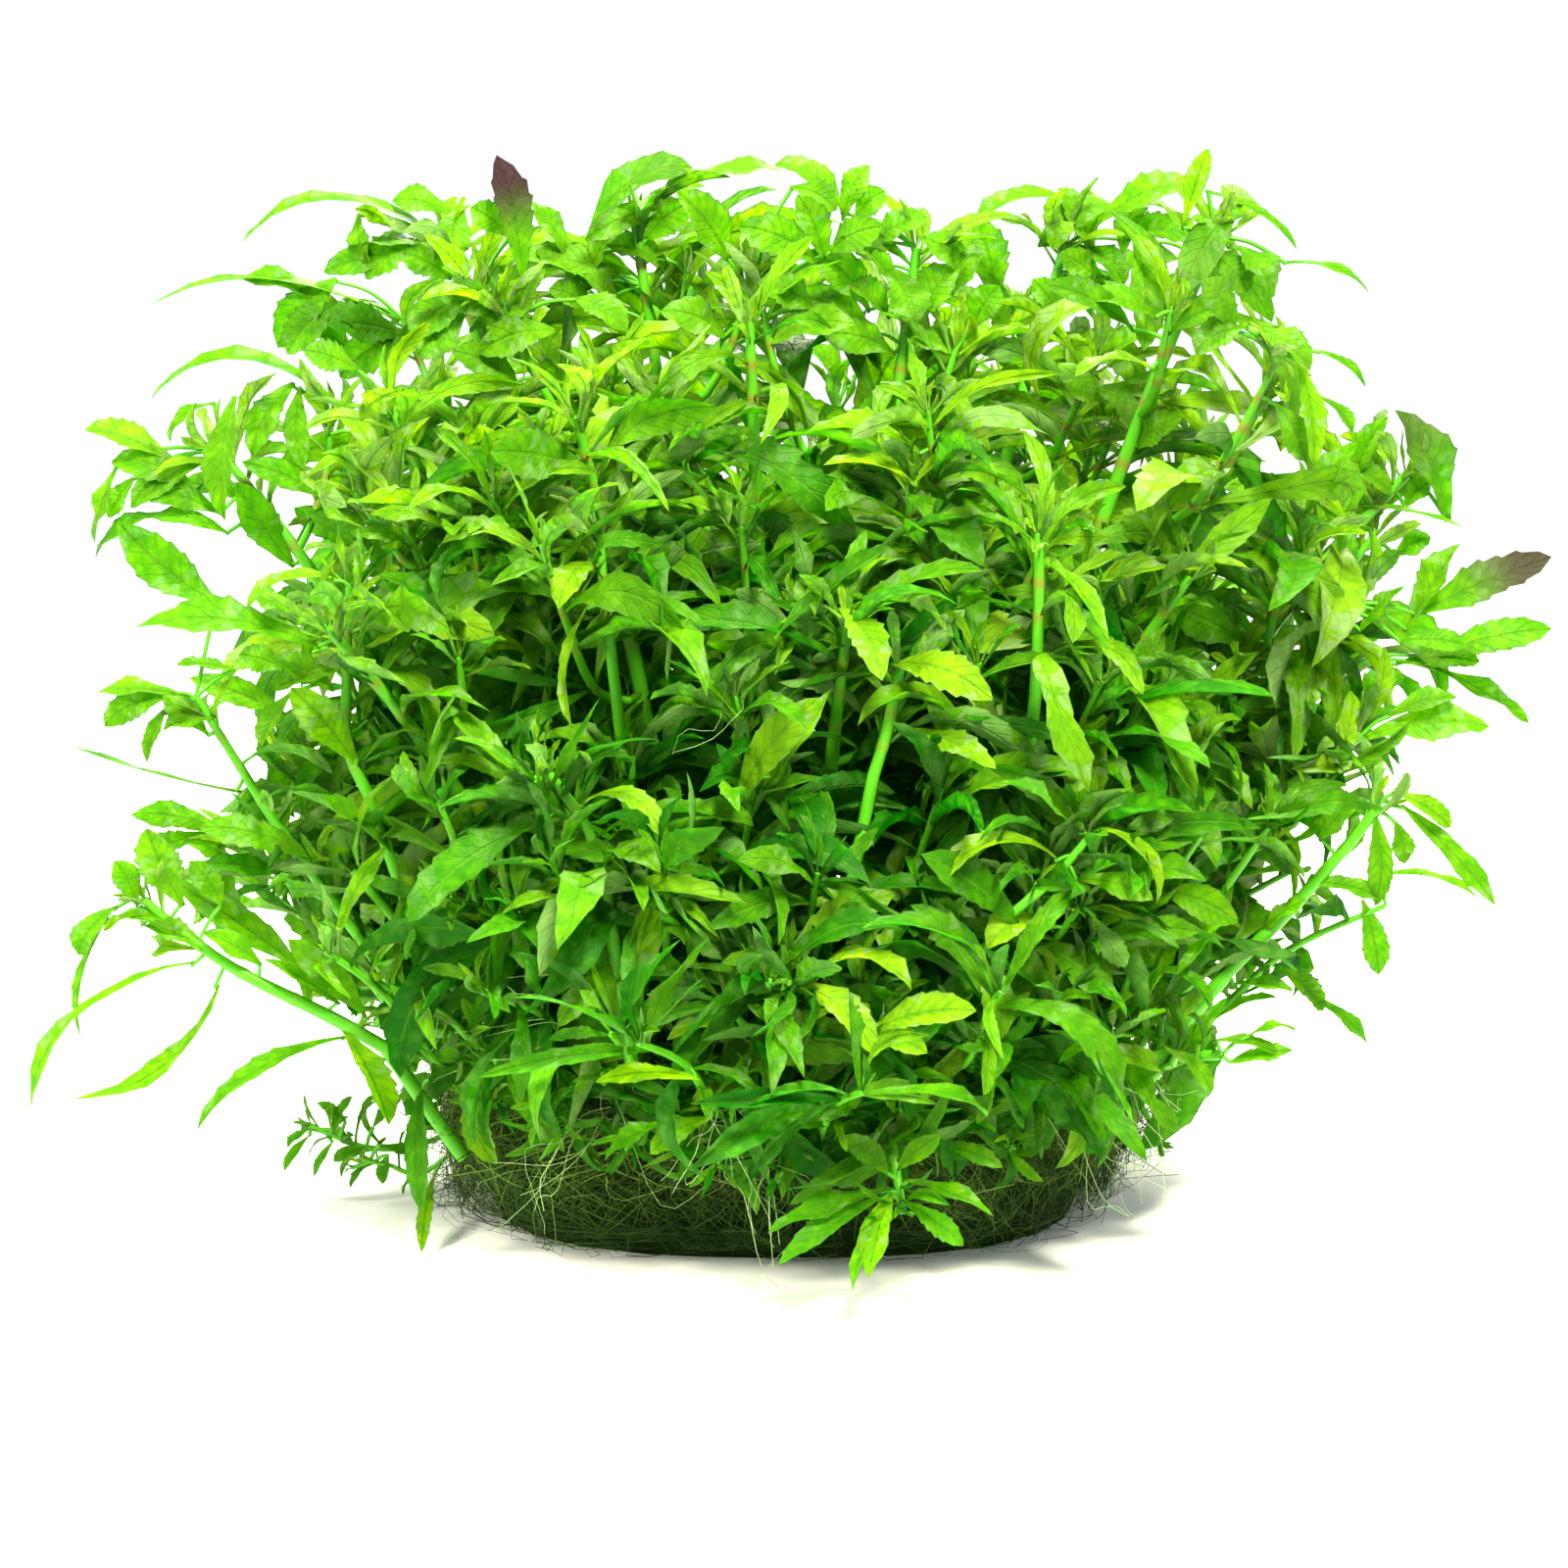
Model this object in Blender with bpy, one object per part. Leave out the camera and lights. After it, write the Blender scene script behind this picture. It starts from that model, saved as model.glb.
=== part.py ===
"""A pogostemon bush: leafy water-plant shoots that stand in a mat of their own roots.

Metres, +Z up. The origin is the middle of the root mat's flat underside, and the
bush faces -Y. Each shoot is two pieces: its stem, which stands in a socket of the
mat, and the mass of its leaves, a sleeve round the stem that reaches the leaf tips.
"""
import math

import bmesh
import bpy
from mathutils import Vector

# Clearance between the leaves of neighbouring shoots, and round a stem in its socket.
GAP = 0.0003
STEM_GAP = 0.0004

# The root mat: a low drum, oval from above.
MAT_HALF_WIDTH = 0.1025
MAT_HALF_DEPTH = 0.085
MAT_HEIGHT = 0.048
MAT_SIDES = 28
# The mat's outline from the ground up: share of its half width, share of its height.
MAT_OUTLINE = ((0.94, 0.0), (1.0, 0.30), (0.98, 0.66), (0.90, 0.90), (0.70, 1.0))

# Each stem stands in a socket of the mat, and its cutter ends above the mat.
SOCKET_DEPTH = 0.030
CUTTER_TOP = 0.060
# How far out a stem is rooted, as a share of its tip's place, and of the mat at most.
ROOT_SPREAD = 0.45
ROOT_EDGE = 0.80

STEM_SIDES = 6
STEM_SPANS = 6
STEM_ROOT_RADIUS = 0.0028
STEM_TIP_RADIUS = 0.0014
# How finely two stems are compared to find the plane between them.
PLANE_SAMPLES = 12
# An upright stem leaves the mat steeply and leans out later.
LEAN_AT_START = 0.30
RISE_AT_START = 0.55
# A creeping shoot arches over the edge of the mat, down to the ground.
CREEPING_TIP_HEIGHT = 0.040
CREEPING_RUN = 0.6
CREEPING_ARCH = 0.026
# How far past the mat's side its leaves begin.
CREEPING_LEAF_START = 0.004

# The mass of leaves round a stem.
SLEEVE_SIDES = 9
LEAF_REACH = 0.056
CREEPING_LEAF_REACH = 0.030
SLEEVE_WALL = 0.0012
# Share of the reach at each ring of the stem, from the lowest leaves to the tip.
SLEEVE_OUTLINE = (0.55, 0.80, 0.95, 1.05, 1.02, 0.85)
# Leaves droop, so the mass is deeper below a leaning stem than above it.
DROOP = 0.45
# The young leaves stand above the tip of the shoot.
TUFT_HEIGHT = 0.028
CREEPING_TUFT_HEIGHT = 0.012
GROUND_CLEARANCE = 0.0008
MAT_CLEARANCE = 0.0010
# A direction that closes on a plane more slowly than this runs beside it.
BESIDE = 1e-6

SHARP_EDGE = math.radians(50.0)
UP = Vector((0.0, 0.0, 1.0))

# Where each shoot's stem ends, from the front of the bush to the back.
SHOOT_TIPS = (
    (0.034, -0.128, 0.030),
    (-0.004, -0.136, 0.100),
    (-0.070, -0.118, 0.155),
    (0.018, -0.100, 0.196),
    (0.092, -0.118, 0.132),
    (0.076, -0.072, 0.215),
    (-0.060, -0.074, 0.252),
    (-0.010, -0.050, 0.276),
    (0.118, -0.066, 0.204),
    (-0.132, -0.082, 0.192),
    (-0.116, -0.026, 0.246),
    (-0.202, -0.050, 0.104),
    (-0.190, -0.010, 0.168),
    (-0.174, 0.034, 0.226),
    (-0.103, 0.028, 0.290),
    (-0.045, 0.014, 0.298),
    (0.040, 0.006, 0.292),
    (0.086, 0.040, 0.288),
    (0.128, -0.020, 0.298),
    (0.190, 0.014, 0.222),
    (0.200, -0.034, 0.168),
    (0.178, -0.084, 0.126),
    (0.146, -0.112, 0.072),
    (-0.122, 0.086, 0.206),
    (-0.050, 0.120, 0.250),
    (0.040, 0.120, 0.248),
    (0.132, 0.092, 0.212),
    (-0.140, 0.060, 0.022),
    (0.128, 0.052, 0.026),
)

STEM_COLOUR = (0.10, 0.30, 0.03)
LEAF_COLOUR = (0.10, 0.46, 0.02)
MAT_COLOUR = (0.12, 0.16, 0.05)


def material(name, colour, roughness):
    """A plain surface of one colour."""
    surface = bpy.data.materials.new(name)
    surface.use_nodes = True
    shader = surface.node_tree.nodes["Principled BSDF"]
    shader.inputs["Base Color"].default_value = (*colour, 1.0)
    shader.inputs["Roughness"].default_value = roughness
    shader.inputs["Metallic"].default_value = 0.0
    return surface


def finish(name, shape, surface):
    """Turn a bmesh into a named object, shaded smooth, with its faces pointing out."""
    bmesh.ops.recalc_face_normals(shape, faces=shape.faces)
    mesh = bpy.data.meshes.new(name)
    shape.to_mesh(mesh)
    shape.free()
    mesh.shade_smooth()
    mesh.set_sharp_from_angle(angle=SHARP_EDGE)
    mesh.materials.append(surface)
    thing = bpy.data.objects.new(name, mesh)
    bpy.context.scene.collection.objects.link(thing)
    return thing


def stitch(shape, first, second):
    """Triangles between two closed rings, which may differ in their number of points."""
    a = 0
    b = 0
    while a < len(first) or b < len(second):
        start_a = first[a % len(first)]
        start_b = second[b % len(second)]
        step_first = (a + 1) * len(second) <= (b + 1) * len(first)
        if step_first:
            a += 1
            shape.faces.new((start_a, first[a % len(first)], start_b))
        else:
            b += 1
            shape.faces.new((start_a, second[b % len(second)], start_b))


def ring(shape, centre, across, upright, radii):
    """A ring of points round a centre, one radius for each direction."""
    points = []
    for step, radius in enumerate(radii):
        angle = math.tau * step / len(radii)
        points.append(shape.verts.new(centre + radius * direction(across, upright, angle)))
    return points


def direction(across, upright, angle):
    """The way from a stem's middle at an angle round it."""
    return across * math.cos(angle) + upright * math.sin(angle)


class Shoot:
    """One stem's course through the bush: rooted in the mat, steep at first, then leaning."""

    def __init__(self, tip):
        self.tip = Vector(tip)
        self.creeps = self.tip.z < CREEPING_TIP_HEIGHT
        self.foot = self.rooting_point()
        self.turn = self.turning_point()
        outwards = Vector((self.tip.x - self.foot.x, self.tip.y - self.foot.y, 0.0))
        self.side = Vector((-outwards.y, outwards.x, 0.0)).normalized()
        self.sleeve_sides = []

    def rooting_point(self):
        """Where the stem leaves the mat."""
        x = ROOT_SPREAD * self.tip.x
        y = ROOT_SPREAD * self.tip.y
        share = math.hypot(x / MAT_HALF_WIDTH, y / MAT_HALF_DEPTH)
        if self.creeps or share > ROOT_EDGE:
            x *= ROOT_EDGE / share
            y *= ROOT_EDGE / share
        return Vector((x, y, MAT_HEIGHT + MAT_CLEARANCE))

    def turning_point(self):
        """The point that bends the stem's course."""
        run = self.tip - self.foot
        if self.creeps:
            run *= CREEPING_RUN
            return self.foot + Vector((run.x, run.y, CREEPING_ARCH))
        lean = Vector((run.x * LEAN_AT_START, run.y * LEAN_AT_START, run.z * RISE_AT_START))
        return self.foot + lean

    def point(self, share):
        """A place on the stem, from 0 at the mat to 1 at the tip."""
        rest = 1.0 - share
        return self.foot * rest**2 + self.turn * (2.0 * rest * share) + self.tip * share**2

    def heading(self, share):
        """Which way the stem grows at that place."""
        run = (self.turn - self.foot) * (1.0 - share) + (self.tip - self.turn) * share
        return run.normalized()

    def lowest_leaves(self):
        """The first ring of the stem that has leaves: clear of the mat on a creeping shoot."""
        if not self.creeps:
            return 1
        normal, limit = beside_mat(self)
        for step in range(1, STEM_SPANS):
            if limit - normal.dot(self.point(step / STEM_SPANS)) > CREEPING_LEAF_START:
                return step
        return STEM_SPANS - 1

    def radius(self, share):
        """The stem's thickness, halved."""
        return STEM_ROOT_RADIUS + (STEM_TIP_RADIUS - STEM_ROOT_RADIUS) * share

    def frame(self, share):
        """Two directions square to the stem: to its side, and towards its upper face."""
        return self.side, self.side.cross(self.heading(share)).normalized()


def dividing_plane(one, other):
    """The plane halfway between two stems: its direction, and how far out it lies."""
    shares = [step / PLANE_SAMPLES for step in range(PLANE_SAMPLES + 1)]
    apart = Vector((0.0, 0.0, 0.0))
    for share in shares:
        apart += other.point(share) - one.point(share)
    along = ((one.tip + other.tip) - (one.foot + other.foot)).normalized()
    across = (apart - along * apart.dot(along)).normalized()
    near = max(across.dot(one.point(share)) for share in shares)
    far = min(across.dot(other.point(share)) for share in shares)
    return across, (near + far) / 2


def bound_sleeves(shoots):
    """Give each shoot the planes that its leaves stay behind."""
    for shoot in shoots:
        shoot.sleeve_sides.append((-UP, -GROUND_CLEARANCE))
        if shoot.creeps:
            shoot.sleeve_sides.append(beside_mat(shoot))
        else:
            shoot.sleeve_sides.append((-UP, -(MAT_HEIGHT + MAT_CLEARANCE)))
    for index, one in enumerate(shoots):
        for other in shoots[:index]:
            across, middle = dividing_plane(one, other)
            one.sleeve_sides.append((across, middle - GAP))
            other.sleeve_sides.append((-across, -middle - GAP))


def beside_mat(shoot):
    """The upright plane that touches the mat's side where a creeping shoot passes over it."""
    normal = Vector((shoot.foot.x / MAT_HALF_WIDTH**2, shoot.foot.y / MAT_HALF_DEPTH**2, 0.0))
    normal.normalize()
    reach = math.hypot(normal.x * MAT_HALF_WIDTH, normal.y * MAT_HALF_DEPTH)
    return -normal, -(reach + MAT_CLEARANCE)


def reach_towards(shoot, centre, way, reach):
    """How far the leaves go in one direction before they meet a neighbour or the ground."""
    for normal, limit in shoot.sleeve_sides:
        rate = normal.dot(way)
        if rate > BESIDE:
            reach = min(reach, (limit - normal.dot(centre)) / rate)
    return reach


def make_stem(name, shoot):
    """A tapered stem from the bottom of its socket to the tip of the shoot."""
    shape = bmesh.new()
    bottom = Vector((shoot.foot.x, shoot.foot.y, MAT_HEIGHT - SOCKET_DEPTH + GAP))
    rings = [ring(shape, bottom, shoot.side, shoot.side.cross(UP), [shoot.radius(0.0)] * STEM_SIDES)]
    for step in range(STEM_SPANS + 1):
        share = step / STEM_SPANS
        radii = [shoot.radius(share)] * STEM_SIDES
        rings.append(ring(shape, shoot.point(share), *shoot.frame(share), radii))
    for lower, upper in zip(rings, rings[1:]):
        stitch(shape, lower, upper)
    shape.faces.new(rings[0])
    shape.faces.new(rings[-1])
    return finish(name, shape, material(name + "_skin", STEM_COLOUR, 0.45))


def make_leaves(name, shoot):
    """The mass of one stem's leaves: a sleeve with a blind channel for the stem."""
    shape = bmesh.new()
    reach = CREEPING_LEAF_REACH if shoot.creeps else LEAF_REACH
    tuft = CREEPING_TUFT_HEIGHT if shoot.creeps else TUFT_HEIGHT
    outer = []
    inner = []
    for step in range(shoot.lowest_leaves(), STEM_SPANS + 1):
        share = step / STEM_SPANS
        centre = shoot.point(share)
        across, upright = shoot.frame(share)
        radii = []
        for turn in range(SLEEVE_SIDES):
            way = direction(across, upright, math.tau * turn / SLEEVE_SIDES)
            wanted = reach * SLEEVE_OUTLINE[step - 1] * (1.0 - DROOP * way.z)
            radii.append(reach_towards(shoot, centre, way, wanted))
        channel = shoot.radius(share) + STEM_GAP
        if min(radii) < channel + SLEEVE_WALL:
            raise ValueError(f"{name} is too thin at ring {step}: move its tip away from its neighbours")
        outer.append(ring(shape, centre, across, upright, radii))
        inner.append(ring(shape, centre, across, upright, [channel] * STEM_SIDES))
    ahead = shoot.heading(1.0)
    top = shape.verts.new(shoot.tip + ahead * reach_towards(shoot, shoot.tip, ahead, tuft))
    for lower, upper in zip(outer, outer[1:]):
        stitch(shape, lower, upper)
    for turn in range(SLEEVE_SIDES):
        shape.faces.new((outer[-1][turn], outer[-1][(turn + 1) % SLEEVE_SIDES], top))
    stitch(shape, outer[0], inner[0])
    for lower, upper in zip(inner, inner[1:]):
        stitch(shape, lower, upper)
    lid = [shape.verts.new(point.co + ahead * GAP) for point in inner[-1]]
    stitch(shape, inner[-1], lid)
    shape.faces.new(lid)
    return finish(name, shape, material(name + "_green", LEAF_COLOUR, 0.5))


def make_sockets(shoots):
    """The cutters for the holes that the stems stand in."""
    shape = bmesh.new()
    for shoot in shoots:
        radius = shoot.radius(0.0) + STEM_GAP
        rings = []
        for height in (MAT_HEIGHT - SOCKET_DEPTH, CUTTER_TOP):
            centre = Vector((shoot.foot.x, shoot.foot.y, height))
            rings.append(ring(shape, centre, shoot.side, shoot.side.cross(UP), [radius] * STEM_SIDES))
        stitch(shape, *rings)
        shape.faces.new(rings[0])
        shape.faces.new(rings[1])
    cutter = finish("socket_cutters", shape, material("cutter_grey", (0.5, 0.5, 0.5), 0.8))
    cutter.hide_render = True
    cutter.display_type = "WIRE"
    return cutter


def make_root_mat(shoots):
    """The drum of matted roots, flat underneath, with a socket for each stem."""
    shape = bmesh.new()
    rings = []
    for width, height in MAT_OUTLINE:
        points = []
        for side in range(MAT_SIDES):
            angle = math.tau * side / MAT_SIDES
            x = MAT_HALF_WIDTH * width * math.cos(angle)
            y = MAT_HALF_DEPTH * width * math.sin(angle)
            points.append(shape.verts.new((x, y, MAT_HEIGHT * height)))
        rings.append(points)
    for lower, upper in zip(rings, rings[1:]):
        stitch(shape, lower, upper)
    shape.faces.new(rings[0])
    shape.faces.new(rings[-1])
    mat = finish("root_mat", shape, material("root_mat_fibre", MAT_COLOUR, 0.9))
    cut = mat.modifiers.new("sockets", "BOOLEAN")
    cut.operation = "DIFFERENCE"
    cut.solver = "EXACT"
    cut.object = make_sockets(shoots)
    return mat


def main():
    for thing in list(bpy.data.objects):
        bpy.data.objects.remove(thing)
    shoots = [Shoot(tip) for tip in SHOOT_TIPS]
    bound_sleeves(shoots)
    make_root_mat(shoots)
    for number, shoot in enumerate(shoots, start=1):
        make_stem(f"stem_{number:02d}", shoot)
        make_leaves(f"leaves_{number:02d}", shoot)


main()
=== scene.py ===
import math

import bmesh
import bpy
import numpy as np
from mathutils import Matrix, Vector


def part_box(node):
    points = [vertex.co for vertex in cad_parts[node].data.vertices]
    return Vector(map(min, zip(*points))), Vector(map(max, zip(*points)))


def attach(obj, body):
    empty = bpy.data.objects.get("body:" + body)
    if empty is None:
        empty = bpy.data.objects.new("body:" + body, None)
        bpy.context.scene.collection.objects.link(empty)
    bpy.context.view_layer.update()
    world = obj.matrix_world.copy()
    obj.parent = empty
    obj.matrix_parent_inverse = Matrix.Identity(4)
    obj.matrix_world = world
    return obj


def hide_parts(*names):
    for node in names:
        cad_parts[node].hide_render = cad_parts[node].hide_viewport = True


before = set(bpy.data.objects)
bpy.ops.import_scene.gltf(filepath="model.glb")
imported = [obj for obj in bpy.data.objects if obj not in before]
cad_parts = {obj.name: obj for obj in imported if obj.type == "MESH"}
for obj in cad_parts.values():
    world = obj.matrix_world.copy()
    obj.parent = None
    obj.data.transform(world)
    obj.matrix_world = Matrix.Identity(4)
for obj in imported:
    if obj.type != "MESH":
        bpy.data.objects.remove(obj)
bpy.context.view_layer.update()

UP = Vector((0.0, 0.0, 1.0))

MM = 0.001
SMALLEST_STEP = 0.00005

# How the bush is seen: from a little above, through a long lens.
CAMERA_RISE = math.radians(12.0)
CAMERA_DISTANCE = 1.6
CAMERA_LENS = 120.0
SIGHT_HEIGHT = 0.1283

# The lights: where each stands, what it points at, its size in metres and its power in watts.
LIGHTS = {
    "top_light": ((-0.04, -0.06, 1.45), (0.0, 0.0, 0.15), 0.16, 2.9),
    "front_light": ((0.34, -1.0, 1.5), (0.0, 0.0, 0.14), 0.4, 10.0),
    "left_light": ((-1.0, -0.5, 0.75), (-0.12, 0.0, 0.14), 0.3, 2.2),
    "back_light": ((0.1, 1.2, 0.9), (0.0, 0.0, 0.15), 0.4, 3.8),
}
LIGHT_SPREAD = math.radians(50.0)
LIGHT_COLOUR = (1.0, 0.95, 0.72)
WHITE = (1.0, 1.0, 1.0, 1.0)
WHITE_STRENGTH = 1.12
NEAR_SHADE = 0.012
FLOOR_SIZE = 12.0
FLOOR_GREY = (0.92, 0.92, 0.92, 1.0)

BUSH_SEED = 41
SHOOTS = 29
CREEPING_TIP_HEIGHT = 0.040
LOW_STEM_HEIGHT = 0.09
GROUND_CLEARANCE = 0.0015
NEAREST = -0.170
FURTHEST = 0.180
MAT_HALF_WIDTH = 0.1025
MAT_HALF_DEPTH = 0.085
# A stem rooted further out than this share of the mat has low side shoots.
OUTERMOST = 0.45
# A stem keeps at least so many of its knots where it is cut short.
FEWEST_KNOTS = 4
LOW_TIP_HEIGHT = 0.12

# The mat: how many threads each of its pieces has, and how many steps a thread has.
THREADS = 2300
THREAD_STEPS = 8
THREAD_SEEDS = (71, 72)
LOOSE_ROOT_SEED = 73

# A bare stretch of stem is kept clear in so many short strips.
BARE_STEPS = 8

# The half width and half depth of the bush, its longest side shoot, how far round the stem the next
# side shoot and the next whorl of leaves sit, as shares of a turn, and how thick a leaf stalk is.
BUSH_HALF_WIDTH = 0.22
BUSH_HALF_DEPTH = 0.15
LONGEST_SIDE_SHOOT = 0.105
SIDE_SHOOT_TURN = 0.382
WHORL_TURN = 0.31
STALK_THICKNESS = 0.0006
STALK_STEPS = 10

# Where side shoots leave a stem, as shares of its length. Only the outermost stems have low ones.
SIDE_SHOOTS = (0.30, 0.42, 0.54, 0.66, 0.77)
LOW_SHOOTS = (0.06, 0.12, 0.19)

# A leaf, as shares of its own length and half width.
LEAF_TEETH = 5
TEETH_FROM = 0.43
TEETH_TO = 0.97
LEAF_BASE_WIDTH = 0.13
LEAF_WAIST = 0.50
LEAF_THICKNESS = 0.00030
SIDE_VEINS = 10.0

# A leaf on its shoot: how long it is at the tip and how much longer below it, and over what stretch
# of stem it grows out and grows old. Leaves of the tuft may stand in front of anything.
YOUNG_LEAF = 0.013
GROWN_LEAF = 0.048
GROWING_STRETCH = 0.013
AGEING_STRETCH = 0.20
TUFT = 0.009
# How steeply it stands off the stem, in degrees: young, less when grown, less when old, and how
# much that varies.
YOUNG_RISE = 72.0
GROWN_FALL = 32.0
OLD_FALL = 12.0
RISE_SPREAD = 16.0
# How yellow it is, from 0 to 1: at the least, more near the top, the sides and the tip of a shoot,
# and how much that varies. A yellower leaf is also brighter, so the rise near the top is partly
# painted light, and the rise at the sides is painted light coming through from behind.
LEAST_YELLOW = 0.22
TOP_YELLOW_AND_PAINTED_LIGHT = 0.44
SIDE_PAINTED_LIGHT = 0.36
YOUNG_YELLOW = 0.15
YELLOW_SPREAD = 0.17

# How yellow and how purple a leaf is where its row says nothing, in percent.
USUAL_HUE = (50, 0)

# Colours. A leaf has three for its face and three for the light through it, from dark to yellow; the
# dark end serves in part as painted shade and the yellow end in part as painted light.
LEAF_SKIN = ((0.012, 0.150, 0.003, 1.0), (0.085, 0.335, 0.004, 1.0), (0.280, 0.460, 0.010, 1.0))
LEAF_GLOW = ((0.040, 0.380, 0.003, 1.0), (0.235, 0.685, 0.004, 1.0), (0.740, 0.880, 0.012, 1.0))
VEIN_SKIN = (0.20, 0.55, 0.03, 1.0)
RIB_SKIN = (0.20, 0.55, 0.04, 1.0)
UNDERSIDE_AND_SHEEN = (0.34, 0.44, 0.26, 1.0)
PURPLE_SKIN = (0.070, 0.040, 0.045, 1.0)
SHADED_GLOW = (0.020, 0.230, 0.003, 1.0)
VEIN_GLOW = (0.05, 0.24, 0.01, 1.0)
EDGE_GLOW = (0.06, 0.14, 0.02, 1.0)
PURPLE_GLOW = (0.095, 0.055, 0.050, 1.0)
STEM_GREEN = (0.055, 0.290, 0.006, 1.0)
JOINT_RED = (0.180, 0.070, 0.015, 1.0)
ROOT_DEEP = (0.006, 0.026, 0.002, 1.0)
ROOT_PALE = (0.260, 0.440, 0.060, 1.0)
ROOT_PAINTED_SHADE = (0.004, 0.012, 0.001, 1.0)
ROOT_WHITE = (0.26, 0.42, 0.14, 1.0)

# The bush's outline as the camera sees it, in mm right of and above the foot of the bush.
OUTLINE = (
    (-104, 4), (-110, -4), (-140, 0), (-158, 24), (-118, 42), (-141, 52), (-165, 62), (-190, 70),
    (-216, 78), (-215, 90), (-198, 105), (-197, 114), (-204, 130), (-210, 143), (-211, 156),
    (-198, 168), (-200, 185), (-206, 202), (-214, 207), (-214, 236), (-192, 243), (-196, 256),
    (-166, 262), (-158, 276), (-140, 292), (-134, 300), (-111, 308), (-82, 306), (-74, 295),
    (-57, 295), (-45, 316), (6, 318), (30, 309), (45, 299), (62, 298), (70, 307), (93, 311),
    (123, 309), (133, 314), (147, 300), (152, 292), (153, 274), (160, 255), (176, 242),
    (198, 236), (208, 207), (206, 196), (215, 180), (215, 143), (185, 135), (199, 117), (190, 92),
    (179, 79), (166, 64), (158, 44), (138, 36), (122, 30), (126, 8), (104, 6), (70, 0), (40, -10),
    (12, -14), (-24, -8), (-54, 4), (-96, 4),
)

# Gaps near the edge where the background shows, in the same mm: place and radius.
GAPS = (
    (-170, 190, 12), (-184, 163, 12), (-200, 165, 5), (-178, 132, 13), (-155, 74, 8),
    (-146, 40, 10), (-120, 274, 6), (-136, 150, 5), (-200, 100, 6), (-162, 74, 8), (146, 91, 9),
    (176, 104, 9), (162, 106, 8), (160, 60, 6), (186, 182, 5), (170, 236, 6), (160, 264, 6),
    (74, 286, 6), (128, 70, 5), (140, 120, 4), (201, 185, 6), (-184, 248, 5), (138, 50, 7),
    (150, 46, 7), (166, 78, 8), (178, 80, 6), (126, 22, 10), (-200, 178, 8), (168, 96, 8),
    (190, 104, 7), (-168, 141, 6), (-168, 128, 6), (157, 50, 6), (205, 194, 6), (200, 154, 6),
    (-184, 234, 4), (142, 250, 6), (147, 54, 6),
)

# The leaves that stand out, read off the photograph in mm: where the foot and the tip are seen, and
# the full width. Then, in degrees, how far the face turns up from the viewer and how far the leaf
# arches; and how much nearer the tip is than the foot, in mm. A row may go on with how yellow the
# leaf is, 50 where it says nothing, and how purple its tip is, both in percent. The yellow is partly
# painted light: yellower leaves are brighter, and less yellow ones get more painted shade.
LEFT_EDGE = (
    (-108, 292, -166, 289, 9, 47, 97, 5, 60), (-118, 265, -194, 270, 8, 60, 64, 0, 60),
    (-133, 271, -152, 255, 13, 15, 60, 10, 35), (-137, 278, -155, 257, 14, 10, 40, 5, 40),
    (-97, 268, -112, 254, 16, 10, 40, 10, 45), (-180, 212, -206, 222, 12, 20, 70, 0),
    (-176, 223, -200, 208, 12, 15, 60, 3, 45), (-131, 231, -194, 241, 9, 58, 116, 0, 55),
    (-117, 261, -140, 264, 14, 10, 30, 15, 20), (-186, 222, -214, 232, 12, 15, 30, 0, 70),
    (-204, 221, -211, 197, 9, 20, 30, 0, 60), (-186, 206, -211, 192, 8, 45, 80, 0, 30),
    (-172, 206, -198, 213, 10, 15, 40, 3, 45), (-170, 200, -194, 205, 9, 20, 50, 3, 45),
    (-173, 178, -204, 204, 16, 5, -30, 5, 40), (-142, 165, -199, 171, 13, 5, 55, 8, 45),
    (-152, 144, -182, 156, 10, 15, 20, 5), (-176, 138, -190, 151, 9, 15, 20, 3),
    (-137, 186, -165, 176, 7, 40, 90, 8, 80), (-147, 208, -133, 196, 12, 10, 20, 8, 30),
    (-183, 150, -211, 151, 9, 30, 40, 0, 60), (-187, 151, -208, 141, 9, 20, 60, 0),
    (-189, 147, -195, 130, 7, 20, 30, 0), (-166, 121, -218, 135, 5, 60, -12, 0),
    (-168, 242, -171, 204, 12, 0, 40, 8, 55), (-150, 246, -163, 224, 11, 10, 50, 6),
    (-112, 262, -136, 248, 14, 10, 50, 6, 45), (-117, 258, -140, 268, 14, 10, 30, 6, 30),
    (-96, 272, -114, 260, 14, 10, 60, 6, 40), (-138, 268, -166, 278, 9, 25, 60, 0),
    (-112, 290, -128, 278, 13, 15, 60, 6), (-106, 286, -130, 288, 10, 30, 60, 4),
    (-150, 190, -168, 216, 13, 10, -20, 8, 30), (-141, 211, -166, 222, 10, 15, 30, 5, 40),
    (-174, 240, -188, 228, 6, 60, 85, 0, 60), (-148, 245, -147, 220, 8, 15, 40, 8),
    (-133, 198, -150, 208, 10, 10, 20, 8, 35), (-118, 284, -141, 280, 10, 15, 40, 5, 40),
    (-82, 246, -102, 256, 13, 15, 40, 8, 45), (-132, 256, -147, 262, 10, 15, 40, 5, 40),
    (-100, 297, -120, 302, 10, 20, 50, 3), (-174, 144, -190, 140, 9, 15, 40, 3),
    (-199, 217, -207, 205, 8, 20, 20, 0, 55), (-150, 152, -160, 135, 9, 15, 30, 5),
    (-130, 250, -147, 256, 10, 15, 30, 5), (-150, 176, -163, 181, 9, 15, 30, 5),
    (-152, 158, -167, 163, 9, 15, 30, 5), (-168, 158, -186, 160, 5, 30, 30, 3),
    (-138, 152, -157, 162, 10, 15, 30, 6), (-136, 158, -156, 152, 10, 20, 40, 6),
)
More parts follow.
